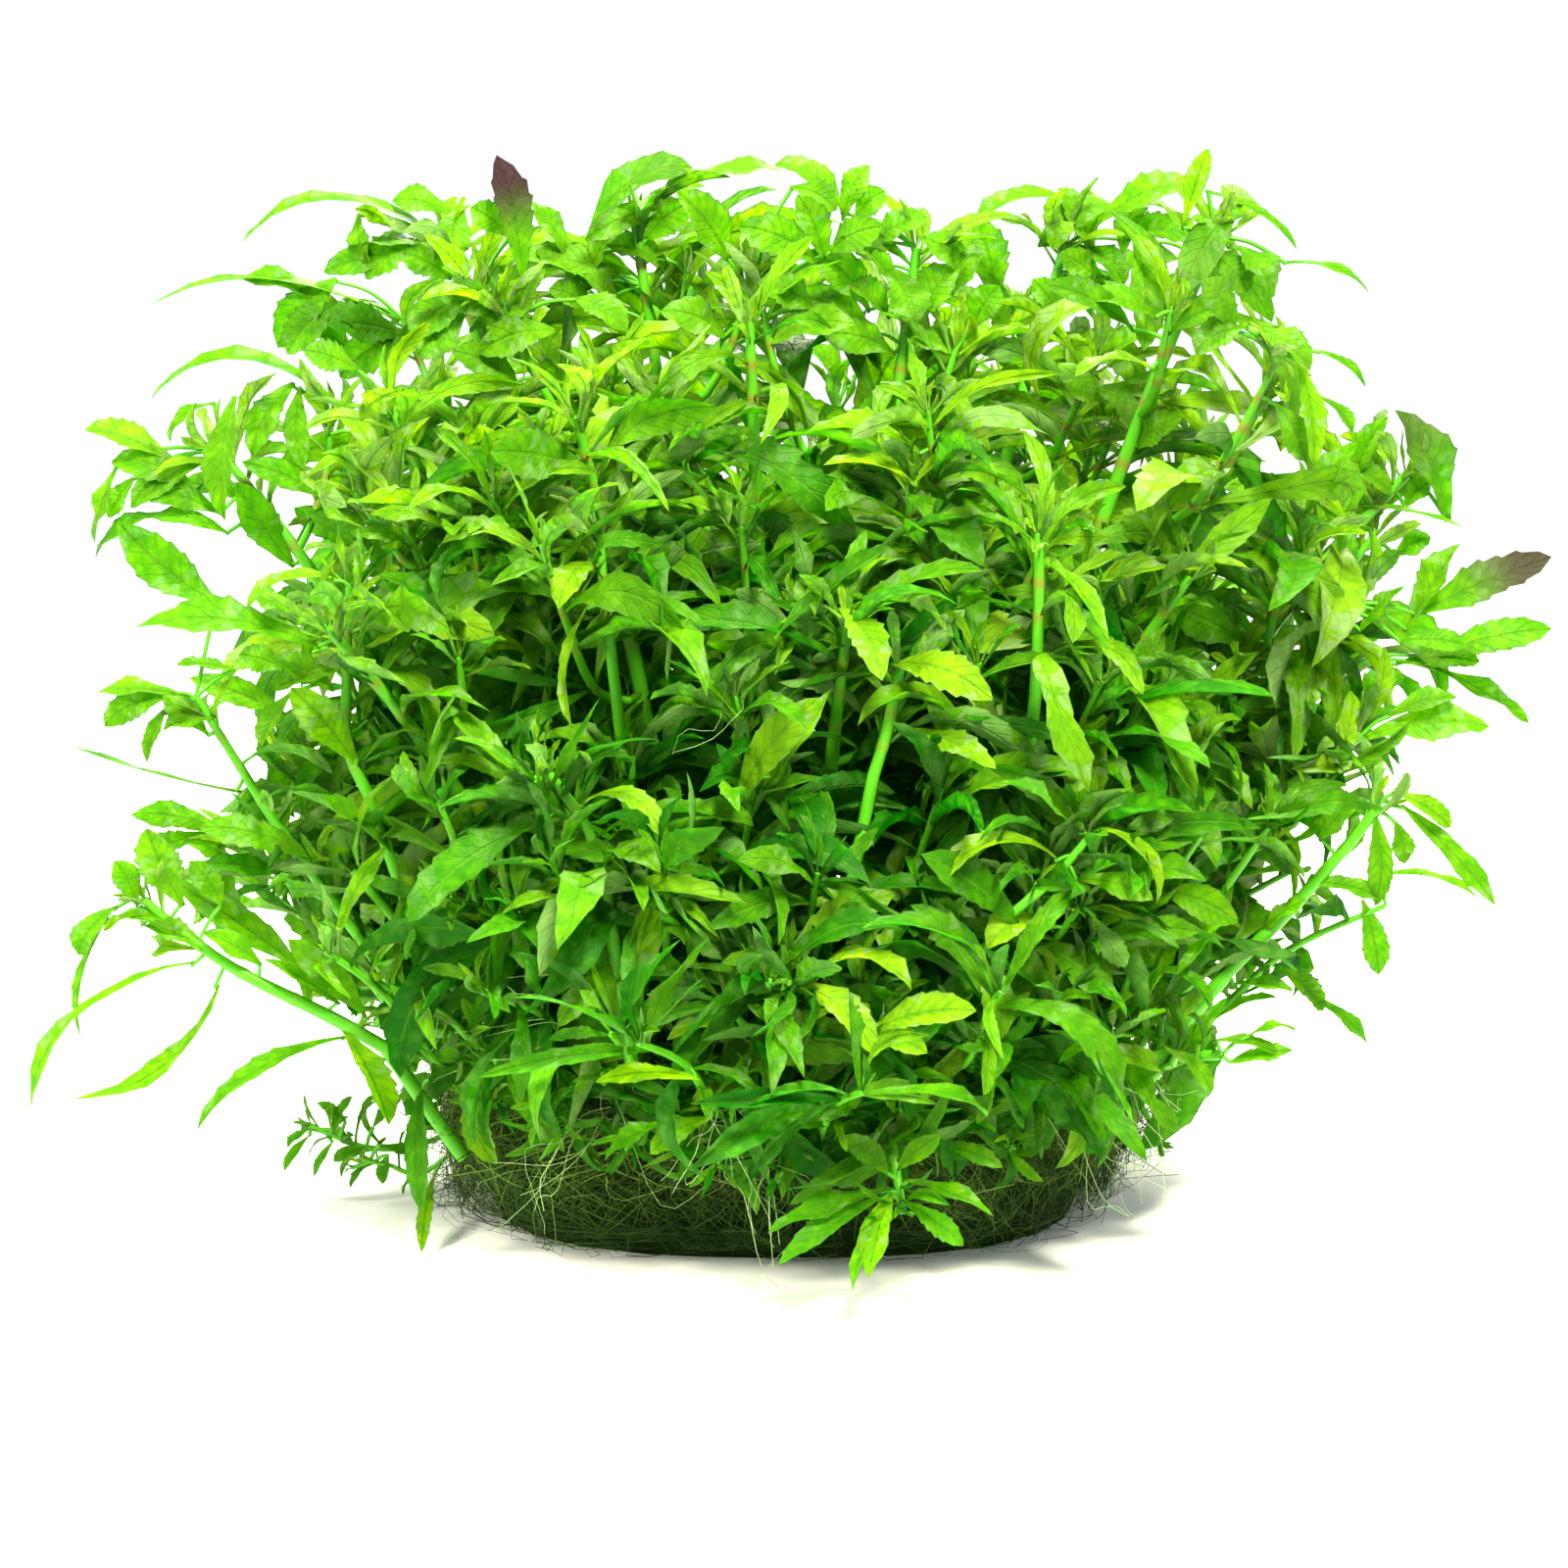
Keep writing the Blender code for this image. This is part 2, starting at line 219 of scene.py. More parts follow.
TOP = (
    (-80, 277, -88, 316, 13, 10, 20, 0, 50, 100), (-60, 290, -28, 312, 14, 25, 90, 0, 35, 20),
    (-50, 279, -80, 285, 12, 20, 20, 5, 55), (-60, 278, -48, 298, 12, 15, 30, 5, 60),
    (18, 298, -3, 313, 10, 30, 80, 0, 60), (18, 296, 26, 313, 9, 20, 40, 0, 60),
    (12, 284, 4, 304, 12, 15, 30, 5, 55), (10, 282, -14, 294, 13, 15, 60, 5, 55),
    (26, 262, 2, 272, 13, 20, 60, 5, 55), (40, 262, 54, 282, 14, 10, 50, 5, 55),
    (66, 258, 60, 276, 12, 15, 50, 5), (26, 268, 8, 287, 13, 20, 50, 8),
    (30, 282, 40, 264, 13, 20, 60, 10, 45), (64, 270, 58, 297, 14, 15, 40, 0),
    (50, 272, 62, 286, 12, 20, 50, 5), (94, 284, 84, 306, 11, 15, 50, 0, 55),
    (104, 284, 111, 305, 10, 20, 60, 0), (78, 288, 100, 301, 11, 30, 60, 0),
    (-29, 308, 0, 311, 10, 35, 40, 0, 60), (34, 276, 20, 290, 11, 15, 40, 5),
    (57, 279, 42, 291, 11, 15, 40, 5), (-33, 300, -61, 290, 10, 25, 40, 10, 55),
    (-17, 284, -33, 305, 15, 5, 25, 15, 60), (-130, 298, -127, 283, 8, 20, 50, 5, 60),
    (-98, 303, -101, 284, 11, 10, 40, 8, 65), (122, 293, 130, 318, 8, 5, 10, 0, 85),
    (129, 305, 157, 287, 6, 55, 45, 0), (87, 302, 58, 292, 10, 35, 90, 5, 60),
    (83, 302, 82, 287, 10, 10, 40, 8, 65), (93, 292, 129, 307, 12, 25, 60, 8, 60),
    (62, 282, 46, 292, 11, 15, 40, 4), (26, 288, 44, 297, 11, 15, 40, 4),
    (58, 262, 66, 276, 12, 15, 40, 6), (-64, 272, -48, 262, 12, 20, 50, 6),
    (-84, 290, -96, 300, 10, 20, 40, 3), (84, 252, 94, 240, 12, 15, 40, 8),
    (140, 301, 122, 273, 12, 15, 40, 15, 40, 20), (136, 288, 148, 271, 12, 35, 100, 8, 45, 10),
    (104, 290, 126, 290, 12, 25, 70, 6), (130, 286, 142, 274, 11, 15, 40, 6, 45, 20),
    (107, 290, 110, 256, 12, 10, 40, 15, 60, 10), (-96, 262, -76, 272, 12, 15, 40, 6),
    (-70, 262, -93, 255, 12, 20, 60, 6, 55), (-60, 276, -76, 287, 11, 15, 40, 4),
    (-88, 266, -104, 276, 11, 15, 40, 4), (-50, 268, -64, 280, 11, 15, 40, 6),
    (-4, 258, 22, 264, 12, 25, 60, 8, 60), (-18, 260, -38, 268, 12, 20, 60, 8, 55),
    (10, 268, -8, 277, 12, 20, 50, 6), (32, 266, 20, 276, 12, 20, 50, 6),
    (36, 262, 52, 255, 12, 20, 60, 8), (2, 306, 16, 299, 9, 20, 60, 3),
    (14, 286, 30, 294, 11, 20, 50, 5), (-42, 290, -28, 302, 12, 15, 40, 4),
    (99, 278, 121, 284, 11, 25, 60, 6, 45), (142, 263, 126, 255, 12, 20, 60, 6, 45, 10),
    (114, 266, 92, 271, 12, 25, 60, 6, 45), (118, 261, 139, 270, 11, 20, 50, 6, 45, 10),
    (96, 252, 116, 260, 12, 20, 60, 8), (92, 288, 104, 276, 11, 15, 50, 5, 45),
    (-102, 278, -118, 286, 11, 15, 40, 5), (-36, 284, -54, 288, 11, 20, 40, 5),
    (-58, 268, -72, 275, 11, 15, 40, 6), (22, 297, 31, 305, 10, 15, 40, 3),
    (34, 255, 12, 261, 12, 20, 50, 8), (-64, 282, -79, 303, 10, 15, 30, 3),
    (98, 276, 84, 286, 10, 15, 30, 5), (84, 266, 76, 278, 10, 15, 30, 5),
    (20, 246, 4, 257, 12, 20, 40, 8), (108, 226, 122, 236, 11, 20, 40, 8, 45),
)
RIGHT_EDGE = (
    (132, 268, 154, 234, 12, 35, 110, 8, 50, 20), (157, 254, 162, 221, 9, 15, 30, 5, 80),
    (150, 240, 160, 222, 10, 15, 40, 5), (146, 230, 158, 238, 11, 15, 40, 4),
    (146, 262, 161, 250, 12, 15, 60, 6, 55, 10), (174, 214, 185, 236, 9, 15, 40, 3, 55),
    (138, 262, 128, 278, 14, 10, 40, 5, 45, 20), (153, 283, 179, 274, 5, 55, 60, 0),
    (164, 256, 178, 245, 5, 50, 40, 0, 40), (164, 242, 174, 231, 6, 50, 40, 0),
    (203, 204, 187, 238, 16, 10, 45, 0, 35, 50), (160, 206, 176, 228, 12, 15, 30, 5),
    (166, 222, 186, 212, 10, 30, 60, 3), (176, 209, 208, 202, 4, 50, 20, 10, 60),
    (192, 175, 235, 193, 14, 3, 6, 0, 50, 90), (190, 170, 207, 197, 12, 3, 8, 0, 60),
    (196, 162, 235, 171, 11, 15, 20, 0, 55), (199, 159, 228, 142, 10, 25, 20, 0),
    (177, 137, 216, 141, 14, 20, 50, 0, 60), (180, 116, 181, 86, 8, 15, 40, 0),
    (186, 121, 204, 110, 8, 20, 40, 0, 75), (189, 117, 218, 86, 8, 15, 18, 0),
    (183, 96, 213, 88, 6, 40, 50, 0, 60), (177, 88, 182, 65, 9, 15, 20, 0),
    (150, 68, 165, 54, 9, 20, 40, 0), (162, 58, 179, 43, 7, 25, 40, 0, 40),
    (132, 45, 152, 40, 6, 30, 40, 0), (130, 50, 151, 58, 6, 30, 50, 0),
    (108, 30, 120, 17, 6, 20, 30, 0, 45), (142, 46, 157, 48, 5, 40, 80, 0),
    (121, 42, 131, 29, 6, 20, 30, 0, 60), (187, 193, 198, 199, 9, 20, 40, 3),
    (190, 208, 198, 216, 9, 20, 40, 3), (187, 160, 213, 161, 10, 15, 30, 0),
    (188, 167, 209, 166, 8, 20, 30, 0), (185, 144, 206, 150, 9, 20, 40, 0),
    (187, 112, 190, 99, 7, 15, 30, 0), (161, 93, 183, 88, 7, 30, 40, 0),
    (137, 62, 156, 60, 6, 25, 30, 0), (164, 106, 176, 119, 9, 15, 30, 5),
    (146, 78, 160, 88, 9, 15, 30, 5), (176, 170, 190, 184, 9, 15, 30, 3),
    (172, 148, 190, 157, 10, 15, 30, 3), (136, 38, 156, 42, 6, 25, 20, 0),
)
LOW_LEFT = (
    (-205, 86, -215, 45, 5, 50, 50, 0), (-204, 86, -216, 71, 9, 20, 60, 3, 45),
    (-198, 86, -205, 100, 9, 15, 30, 3), (-172, 109, -200, 114, 9, 15, 40, 3),
    (-174, 108, -196, 101, 8, 15, 40, 3), (-180, 69, -230, 20, 7, 40, 95, 0, 60),
    (-173, 62, -218, 27, 8, 35, -80, 0, 65), (-134, 46, -180, 17, 9, 35, 55, 5, 45),
    (-135, 48, -121, 19, 13, 10, 25, 15, 75), (-111, 31, -111, -8, 8, 5, 20, 20, 25),
    (-107, 4, -111, -20, 5, 10, 10, 10, 80), (-145, 18, -152, 12, 5, 15, 30, 0, 30),
    (-145, 16, -153, 5, 4, 15, 30, 0, 35), (-138, 17, -132, 28, 5, 15, 30, 0, 30),
    (-138, 14, -144, 3, 4, 15, 30, 0, 30), (-124, 13, -112, 9, 5, 15, 30, 0, 30),
    (-128, 12, -138, 8, 5, 15, 30, 0, 30), (-121, 10, -123, 1, 5, 15, 30, 0, 30),
    (-134, 20, -143, 26, 4, 15, 30, 0, 30), (-126, 18, -117, 27, 5, 15, 30, 0, 30),
    (-154, 96, -178, 99, 8, 10, 20, 10, 10), (-160, 68, -178, 78, 9, 15, 30, 5),
    (-176, 72, -196, 80, 9, 20, 30, 3), (-182, 76, -204, 83, 9, 20, 30, 3),
    (-168, 100, -184, 106, 8, 15, 30, 5), (-136, 56, -160, 70, 8, 20, 15, 5),
    (-172, 86, -182, 100, 9, 15, 30, 5), (-147, 66, -187, 94, 12, 15, 10, 8, 55),
    (-128, 52, -152, 76, 11, 15, 20, 8, 45), (-145, 101, -179, 110, 11, 20, 40, 8, 45),
    (-184, 86, -195, 110, 14, 10, -15, 5, 60), (-172, 107, -166, 71, 11, 10, 30, 10),
    (-133, 60, -139, 98, 9, 10, 15, 15, 35), (-119, 102, -151, 121, 11, 15, 30, 12, 40),
    (-72, 112, -115, 81, 14, 25, 50, 20, 15), (-56, 78, -88, 82, 7, 50, 115, 15, 70),
    (-63, 149, -87, 134, 12, 30, 80, 20, 90), (-62, 117, -37, 107, 8, 40, 110, 20, 90),
    (-14, 117, 11, 150, 12, 12, 35, 20, 85), (-40, 66, -69, 49, 9, 35, 75, 12),
    (-33, 54, -55, 38, 13, 10, 30, 15, 40), (-26, 33, -58, 32, 8, 30, 40, 12, 90),
    (-30, 20, -55, 8, 8, 30, 60, 10, 35), (-22, 21, -41, 10, 8, 25, 50, 12, 60),
    (-9, 72, -32, 55, 10, 25, 60, 12, 95), (-9, 42, -36, 45, 7, 45, 100, 10, 90),
)
LOW_MIDDLE = (
    (3, 63, 28, 40, 12, 20, 55, 15, 100), (10, 66, 39, 60, 10, 40, 110, 10, 100),
    (24, 46, 59, 54, 12, 25, 40, 12, 90), (24, 46, 44, 41, 9, 20, 40, 14, 80),
    (84, 100, 49, 93, 9, 42, 120, 10, 95), (96, 110, 114, 87, 9, 35, 100, 10, 90),
    (36, 140, 65, 128, 9, 25, 35, 22, 85), (90, 108, 66, 124, 13, 20, 60, 8),
    (72, 80, 42, 102, 13, 10, 30, 12, 10), (80, 79, 62, 73, 12, 25, 90, 16, 100),
    (60, 71, 66, 45, 11, 10, 40, 14, 60), (62, 46, 61, 28, 7, 10, 20, 14, 60),
    (75, 75, 101, 57, 14, 15, 40, 14, 35), (89, 94, 113, 88, 9, 25, 40, 12, 60),
    (113, 91, 139, 81, 11, 20, 40, 10, 55), (95, 83, 105, 68, 9, 165, 40, 10, 60),
    (46, 12, 67, 6, 7, 30, 40, 5, 40),
)
GROUND_STAR = (
    (37, 2, 64, -9, 7, 20, 30, 12, 55), (36, -4, 55, -18, 7, 15, 20, 14, 35),
    (33, -2, 26, -28, 9, 8, 20, 25, 70), (30, -4, 21, -32, 7, 8, 20, 25, 55),
    (30, -3, -2, -24, 8, 15, 20, 20, 30), (30, -1, -5, -14, 9, 15, 25, 14, 35),
    (35, 5, 48, 16, 8, 10, 30, 5), (32, 4, 18, 16, 8, 10, 30, 5, 30),
)
FRONT = (
    (42, 224, 7, 231, 12, 30, 60, 20, 80), (41, 214, 12, 221, 8, 40, 50, 24, 100),
    (37, 212, 61, 190, 14, 15, 30, 24, 20), (92, 202, 61, 193, 11, 30, 60, 22, 95),
    (142, 166, 110, 180, 16, 10, 20, 22, 20), (17, 177, 30, 155, 11, 15, 50, 24, 85),
    (33, 160, 64, 149, 12, 25, 50, 24, 100), (73, 224, 90, 213, 10, 20, 40, 22, 95),
    (92, 244, 114, 226, 13, 30, 90, 22, 40, 20), (107, 262, 80, 276, 11, 20, 40, 18, 40, 10),
    (113, 250, 89, 248, 9, 45, 70, 22, 90), (-50, 254, -96, 248, 10, 35, 30, 22, 65),
    (-130, 235, -118, 244, 9, 20, 30, 20, 100), (-123, 212, -108, 236, 9, 30, 30, 18, 95),
    (-60, 219, -90, 225, 15, 10, 30, 22, 40), (-56, 190, -69, 177, 11, 30, 80, 24, 95),
    (-76, 160, -103, 162, 11, 30, 80, 24, 95), (-131, 129, -151, 153, 13, 10, 20, 15, 70),
    (-60, 178, -65, 141, 6, 45, 50, 24, 90), (-126, 193, -104, 195, 11, 35, 80, 20, 90),
)
PROMINENT_LEAVES = LEFT_EDGE + TOP + RIGHT_EDGE + LOW_LEFT + LOW_MIDDLE + GROUND_STAR + FRONT

# Low sprigs in front of the mat, in mm as they are seen: foot, tip, how far in front of the middle
# of the bush each is, then how big the leaves are.
SPRIGS = (
    (-16, 38, 4, 63, 80, 134, 0.66),
    (18, 38, 28, 49, 80, 138, 0.62),
    (48, 38, 61, 47, 76, 130, 0.62),
    (9, 32, 7, 15, 76, 116, 0.46),
    (-60, 34, -74, 27, 68, 104, 0.50),
    (40, 32, 46, 15, 72, 108, 0.46),
    (-30, 34, -34, 22, 74, 112, 0.46),
    (-8, 34, -12, 36, 76, 126, 0.52),
    (26, 32, 27, 8, 76, 118, 0.46),
    (66, 36, 84, 34, 66, 104, 0.50),
    (-75, 36, -93, 45, 60, 98, 0.50),
    (88, 36, 108, 52, 52, 90, 0.50),
    (-18, 30, -20, 8, 74, 118, 0.46),
    (2, 30, -2, 2, 76, 120, 0.44),
    (14, 30, 16, 22, 76, 124, 0.50),
    (34, 30, 36, 25, 74, 120, 0.50),
    (50, 30, 57, 21, 70, 110, 0.46),
    (-40, 32, -48, 12, 70, 110, 0.42),
    (62, 32, 70, 12, 66, 104, 0.38),
    (-66, 34, -66, 18, 66, 104, 0.40),
    (-84, 40, -90, 26, 50, 86, 0.42),
    (-50, 36, -56, 34, 74, 112, 0.50),
    (-30, 36, -24, 34, 76, 118, 0.50),
    (78, 36, 92, 26, 56, 92, 0.40),
    (100, 40, 116, 40, 34, 66, 0.42),
    (-100, 44, -116, 44, 26, 56, 0.42),
)

# Stems that show, in mm as they are seen. Each row: how far in front of the middle of the bush,
# thickness at the foot and at the tip, leaf size, the bare share, and the places it runs through.
LIMBS = (
    (60, 2.3, 1.4, 0.60, 0.30,
     ((-98, 9), (-108, 32), (-133, 49), (-165, 65), (-183, 77), (-196, 88))),
    (50, 1.8, 1.1, 0.60, 0.50, ((-118, 60), (-138, 86), (-154, 109), (-168, 131), (-180, 150))),
    (62, 2.0, 1.2, 0.90, 0.40,
     ((-108, 66), (-113, 89), (-122, 110), (-133, 133), (-134, 153), (-133, 184))),
    (112, 2.2, 1.4, 0.90, 0.50, ((-46, 34), (-50, 55), (-53, 80), (-59, 107), (-73, 128))),
    (95, 2.1, 1.4, 0.95, 0.60, ((72, 100), (76, 123), (77, 150), (78, 179), (78, 200))),
    (118, 1.6, 1.1, 0.75, 0.50, ((56, 66), (67, 81), (82, 94), (94, 108))),
    (55, 2.4, 1.5, 0.75, 0.40, ((106, 30), (130, 60), (153, 83), (172, 104), (181, 115))),
    (100, 2.0, 1.5, 0.90, 0.60, ((20, 90), (24, 114), (31, 138), (36, 160))),
    (85, 1.8, 1.3, 0.90, 0.60, ((-48, 120), (-50, 143), (-55, 180), (-56, 200))),
    (58, 1.8, 1.3, 0.85, 0.45, ((-90, 50), (-108, 69), (-120, 83), (-132, 97))),
    (20, 0.9, 0.7, 0.40, 0.10, ((-98, 18), (-116, 12), (-131, 13), (-145, 19))),
    (30, 0.8, 0.6, 0.36, 0.10, ((-100, 12), (-112, 4), (-124, 8), (-132, 6))),
    (40, 0.9, 0.7, 0.40, 0.10, ((98, 34), (108, 27), (115, 14))),
)

# Loose pale roots, in mm as they are seen: from, to, how many, how wide apart, and how far in front
# of the middle of the bush.
LOOSE_ROOTS = (
    (-20, 23, -5, -17, 12, 12, 118),
    (-20, 23, -32, 2, 4, 6, 118),
    (-71, 48, -99, 46, 3, 3, 105),
    (-56, 76, -86, 64, 2, 2, 120),
    (-34, 133, -14, 152, 2, 2, 110),
    (-54, 30, -20, 8, 6, 8, 105),
    (-60, 20, -70, -8, 6, 14, 100),
    (104, 41, 118, 20, 8, 12, 70),
    (75, 60, 95, 20, 6, 8, 100),
    (130, 47, 150, 28, 6, 10, 40),
    (-100, 60, -112, 28, 4, 8, 60),
    (96, 25, 108, -6, 8, 8, 80),
)


class Wire:
    """A number or vector on a node's socket, so that a formula in a tree reads as a formula."""

    def __init__(self, tree, socket):
        self.tree = tree
        self.socket = socket

    def __add__(self, other):
        return maths(self.tree, "ADD", self, other)

    def __radd__(self, other):
        return maths(self.tree, "ADD", other, self)

    def __sub__(self, other):
        return maths(self.tree, "SUBTRACT", self, other)

    def __rsub__(self, other):
        return maths(self.tree, "SUBTRACT", other, self)

    def __mul__(self, other):
        return maths(self.tree, "MULTIPLY", self, other)

    def __rmul__(self, other):
        return maths(self.tree, "MULTIPLY", other, self)

    def __truediv__(self, other):
        return maths(self.tree, "DIVIDE", self, other)

    def __pow__(self, other):
        return maths(self.tree, "POWER", self, other)


def feed(tree, socket, value):
    """Join a wire to a socket, or set the socket to a plain value."""
    if isinstance(value, Wire):
        tree.links.new(value.socket, socket)
    else:
        socket.default_value = value


def maths(tree, operation, *values):
    """One step of arithmetic on numbers."""
    node = tree.nodes.new("ShaderNodeMath")
    node.operation = operation
    for socket, value in zip(node.inputs, values):
        feed(tree, socket, value)
    return Wire(tree, node.outputs[0])


def vector_maths(tree, operation, *values):
    """One step of arithmetic on vectors."""
    node = tree.nodes.new("ShaderNodeVectorMath")
    node.operation = operation
    for socket, value in zip(node.inputs, values):
        feed(tree, socket, value)
    return Wire(tree, node.outputs["Vector"])


def scaled(vector, factor):
    """A vector times a number."""
    node = vector.tree.nodes.new("ShaderNodeVectorMath")
    node.operation = "SCALE"
    feed(vector.tree, node.inputs["Vector"], vector)
    feed(vector.tree, node.inputs["Scale"], factor)
    return Wire(vector.tree, node.outputs["Vector"])


def total(first, *others):
    """The sum of several vectors."""
    for other in others:
        first = vector_maths(first.tree, "ADD", first, other)
    return first


def parts_of(vector):
    """A vector's X, Y and Z."""
    node = vector.tree.nodes.new("ShaderNodeSeparateXYZ")
    feed(vector.tree, node.inputs[0], vector)
    return [Wire(vector.tree, socket) for socket in node.outputs]


def smooth_step(value, low, high):
    """Rises smoothly from 0 at low to 1 at high."""
    node = value.tree.nodes.new("ShaderNodeMapRange")
    node.interpolation_type = "SMOOTHSTEP"
    feed(value.tree, node.inputs["Value"], value)
    node.inputs["From Min"].default_value = low
    node.inputs["From Max"].default_value = high
    return Wire(value.tree, node.outputs["Result"])


def put_in_scene(name, data):
    """A new object."""
    thing = bpy.data.objects.new(name, data)
    bpy.context.scene.collection.objects.link(thing)
    return thing


class Growth:
    """A geometry tree with named inputs, run once on a mesh and then made plain."""

    def __init__(self, name):
        self.tree = bpy.data.node_groups.new(name, "GeometryNodeTree")
        self.tree.interface.new_socket("Geometry", in_out="INPUT", socket_type="NodeSocketGeometry")
        self.tree.interface.new_socket("Geometry", in_out="OUTPUT", socket_type="NodeSocketGeometry")
        self.entry = self.tree.nodes.new("NodeGroupInput")
        self.exit = self.tree.nodes.new("NodeGroupOutput")

    def input(self, name, kind, value=None):
        """A named input of the tree, and its value where none is given."""
        socket = self.tree.interface.new_socket(name, in_out="INPUT", socket_type="NodeSocket" + kind)
        if value is not None:
            socket.default_value = value
        return Wire(self.tree, self.entry.outputs[name])

    def start(self):
        return Wire(self.tree, self.entry.outputs["Geometry"])

    def node(self, kind, output=0, options=None, **inputs):
        """A node with its inputs by name, underscores for spaces; gives one of its outputs."""
        node = self.tree.nodes.new(kind)
        for name, value in (options or {}).items():
            setattr(node, name, value)
        for name, value in inputs.items():
            feed(self.tree, node.inputs[name.replace("_", " ")], value)
        return Wire(self.tree, node.outputs[output])

    def attribute(self, name, kind="FLOAT"):
        """Reads a value that each point carries."""
        return self.node("GeometryNodeInputNamedAttribute", options={"data_type": kind}, Name=name)

    def finish(self, geometry):
        self.tree.links.new(geometry.socket, self.exit.inputs[0])

    def grow(self, name, mesh, **values):
        """Runs the tree on a mesh, and gives the result as a plain object."""
        seedling = put_in_scene(name + "_seedling", mesh)
        modifier = seedling.modifiers.new(self.tree.name, "NODES")
        modifier.node_group = self.tree
        for item in self.tree.interface.items_tree:
            if item.in_out == "INPUT" and item.name.replace(" ", "_") in values:
                modifier[item.identifier] = values[item.name.replace(" ", "_")]
        graph = bpy.context.evaluated_depsgraph_get()
        grown = bpy.data.meshes.new_from_object(seedling.evaluated_get(graph))
        seedling.modifiers.remove(modifier)
        bpy.data.objects.remove(seedling)
        grown.name = name
        return put_in_scene(name, grown)


def carry(mesh, name, values, kind="FLOAT"):
    """Gives each point of a mesh its own value."""
    layer = mesh.attributes.new(name, kind, "POINT")
    field = "vector" if kind == "FLOAT_VECTOR" else "value"
    layer.data.foreach_set(field, np.asarray(values, dtype=np.float32).ravel())


def set_the_stage():
    """A plain pale floor, soft light from above, in front, the left and behind, and the camera."""
    scene = bpy.context.scene
    scene.view_settings.view_transform = "Standard"
    scene.cycles.max_bounces = 5
    scene.cycles.use_fast_gi = True
    scene.cycles.fast_gi_method = "REPLACE"
    scene.cycles.ao_bounces_render = 2
    world = bpy.data.worlds.new("studio_white")
    world.use_nodes = True
    world.node_tree.nodes["Background"].inputs["Color"].default_value = WHITE
    world.node_tree.nodes["Background"].inputs["Strength"].default_value = WHITE_STRENGTH
    scene.world = world
    world.light_settings.distance = NEAR_SHADE

    bpy.ops.mesh.primitive_plane_add(size=FLOOR_SIZE)
    floor = bpy.context.object
    floor.name = "pale_floor"
    floor.data.materials.append(Paint("pale_floor", roughness=0.9).coloured(FLOOR_GREY))

    for name, (place, target, size, power) in LIGHTS.items():
        lamp = bpy.data.lights.new(name, "AREA")
        lamp.size = size
        lamp.spread = LIGHT_SPREAD
        lamp.energy = power
        lamp.color = LIGHT_COLOUR
        aim(put_in_scene(name, lamp), Vector(place), Vector(target) - Vector(place))

    camera = bpy.data.cameras.new("camera")
    camera.lens = CAMERA_LENS
    scene.camera = put_in_scene("camera", camera)
    away = Vector((0.0, -math.cos(CAMERA_RISE), math.sin(CAMERA_RISE)))
    aim(scene.camera, UP * SIGHT_HEIGHT + away * CAMERA_DISTANCE, -away)


def aim(thing, place, way):
    """Stands a lamp or the camera somewhere and turns it."""
    thing.location = place
    thing.rotation_euler = way.to_track_quat("-Z", "Y").to_euler()


class Sight:
    """Turns places in the bush into places as the camera sees them, and back."""

    def __init__(self):
        self.forward = Vector((0.0, math.cos(CAMERA_RISE), -math.sin(CAMERA_RISE)))
        self.upward = Vector((0.0, math.sin(CAMERA_RISE), math.cos(CAMERA_RISE)))
        self.eye = UP * SIGHT_HEIGHT - self.forward * CAMERA_DISTANCE
        self.foot = 0.0
        self.foot = self.seen(Vector())[1]

    def seen(self, point):
        """How far right of and above the foot of the bush a place is seen."""
        ray = point - self.eye
        scale = CAMERA_DISTANCE / ray.dot(self.forward)
        return ray.x * scale, ray.dot(self.upward) * scale - self.foot

    def place(self, across, up, depth):
        """The place that is seen there at that depth, or nearer if it would be in the ground."""
        ray = self.upward * (up + self.foot) + self.forward * CAMERA_DISTANCE
        ray.x = across
        point = self.eye + ray * ((depth - self.eye.y) / ray.y)
        if point.z < GROUND_CLEARANCE:
            point = self.eye + ray * ((GROUND_CLEARANCE - self.eye.z) / ray.z)
        return point


class Room:
    """What loose leaves leave free: the air outside the outline, and what stands out in front."""

    def __init__(self, sight):
        self.sight = sight
        self.outline = np.array(OUTLINE) * MM
        self.gaps = np.array(GAPS) * MM
        self.strips = []

    def keep_clear(self, start, end, radius):
        """Nothing may come in front of the strip from one place to another."""
        ends = (*self.sight.seen(start), *self.sight.seen(end))
        self.strips.append((*ends, radius, (start.y + end.y) / 2.0))

    def inside(self, point):
        """Whether a place is seen within the outline of the bush, and not in a gap."""
        across, up = self.sight.seen(point)
        if np.any(np.hypot(self.gaps[:, 0] - across, self.gaps[:, 1] - up) < self.gaps[:, 2]):
            return False
        corners = self.outline
        after = np.roll(corners, -1, axis=0)
        spans = (corners[:, 1] > up) != (after[:, 1] > up)
        run = (after[:, 0] - corners[:, 0]) * (up - corners[:, 1])
        rise = np.where(spans, after[:, 1] - corners[:, 1], 1.0)
        return bool(np.sum(spans & (across < corners[:, 0] + run / rise)) % 2)

    def hides(self, point):
        """Whether something there would hide a leaf or a stem that is to be seen."""
        across, up = self.sight.seen(point)
        strips = np.array(self.strips)
        run = strips[:, 2:4] - strips[:, 0:2]
        offset = np.array((across, up)) - strips[:, 0:2]
        share = np.clip(np.sum(offset * run, axis=1) / np.sum(run * run, axis=1), 0.0, 1.0)
        gap = np.linalg.norm(offset - run * share[:, None], axis=1)
        return bool(np.any((gap < strips[:, 4]) & (point.y < strips[:, 5] + 0.006)))


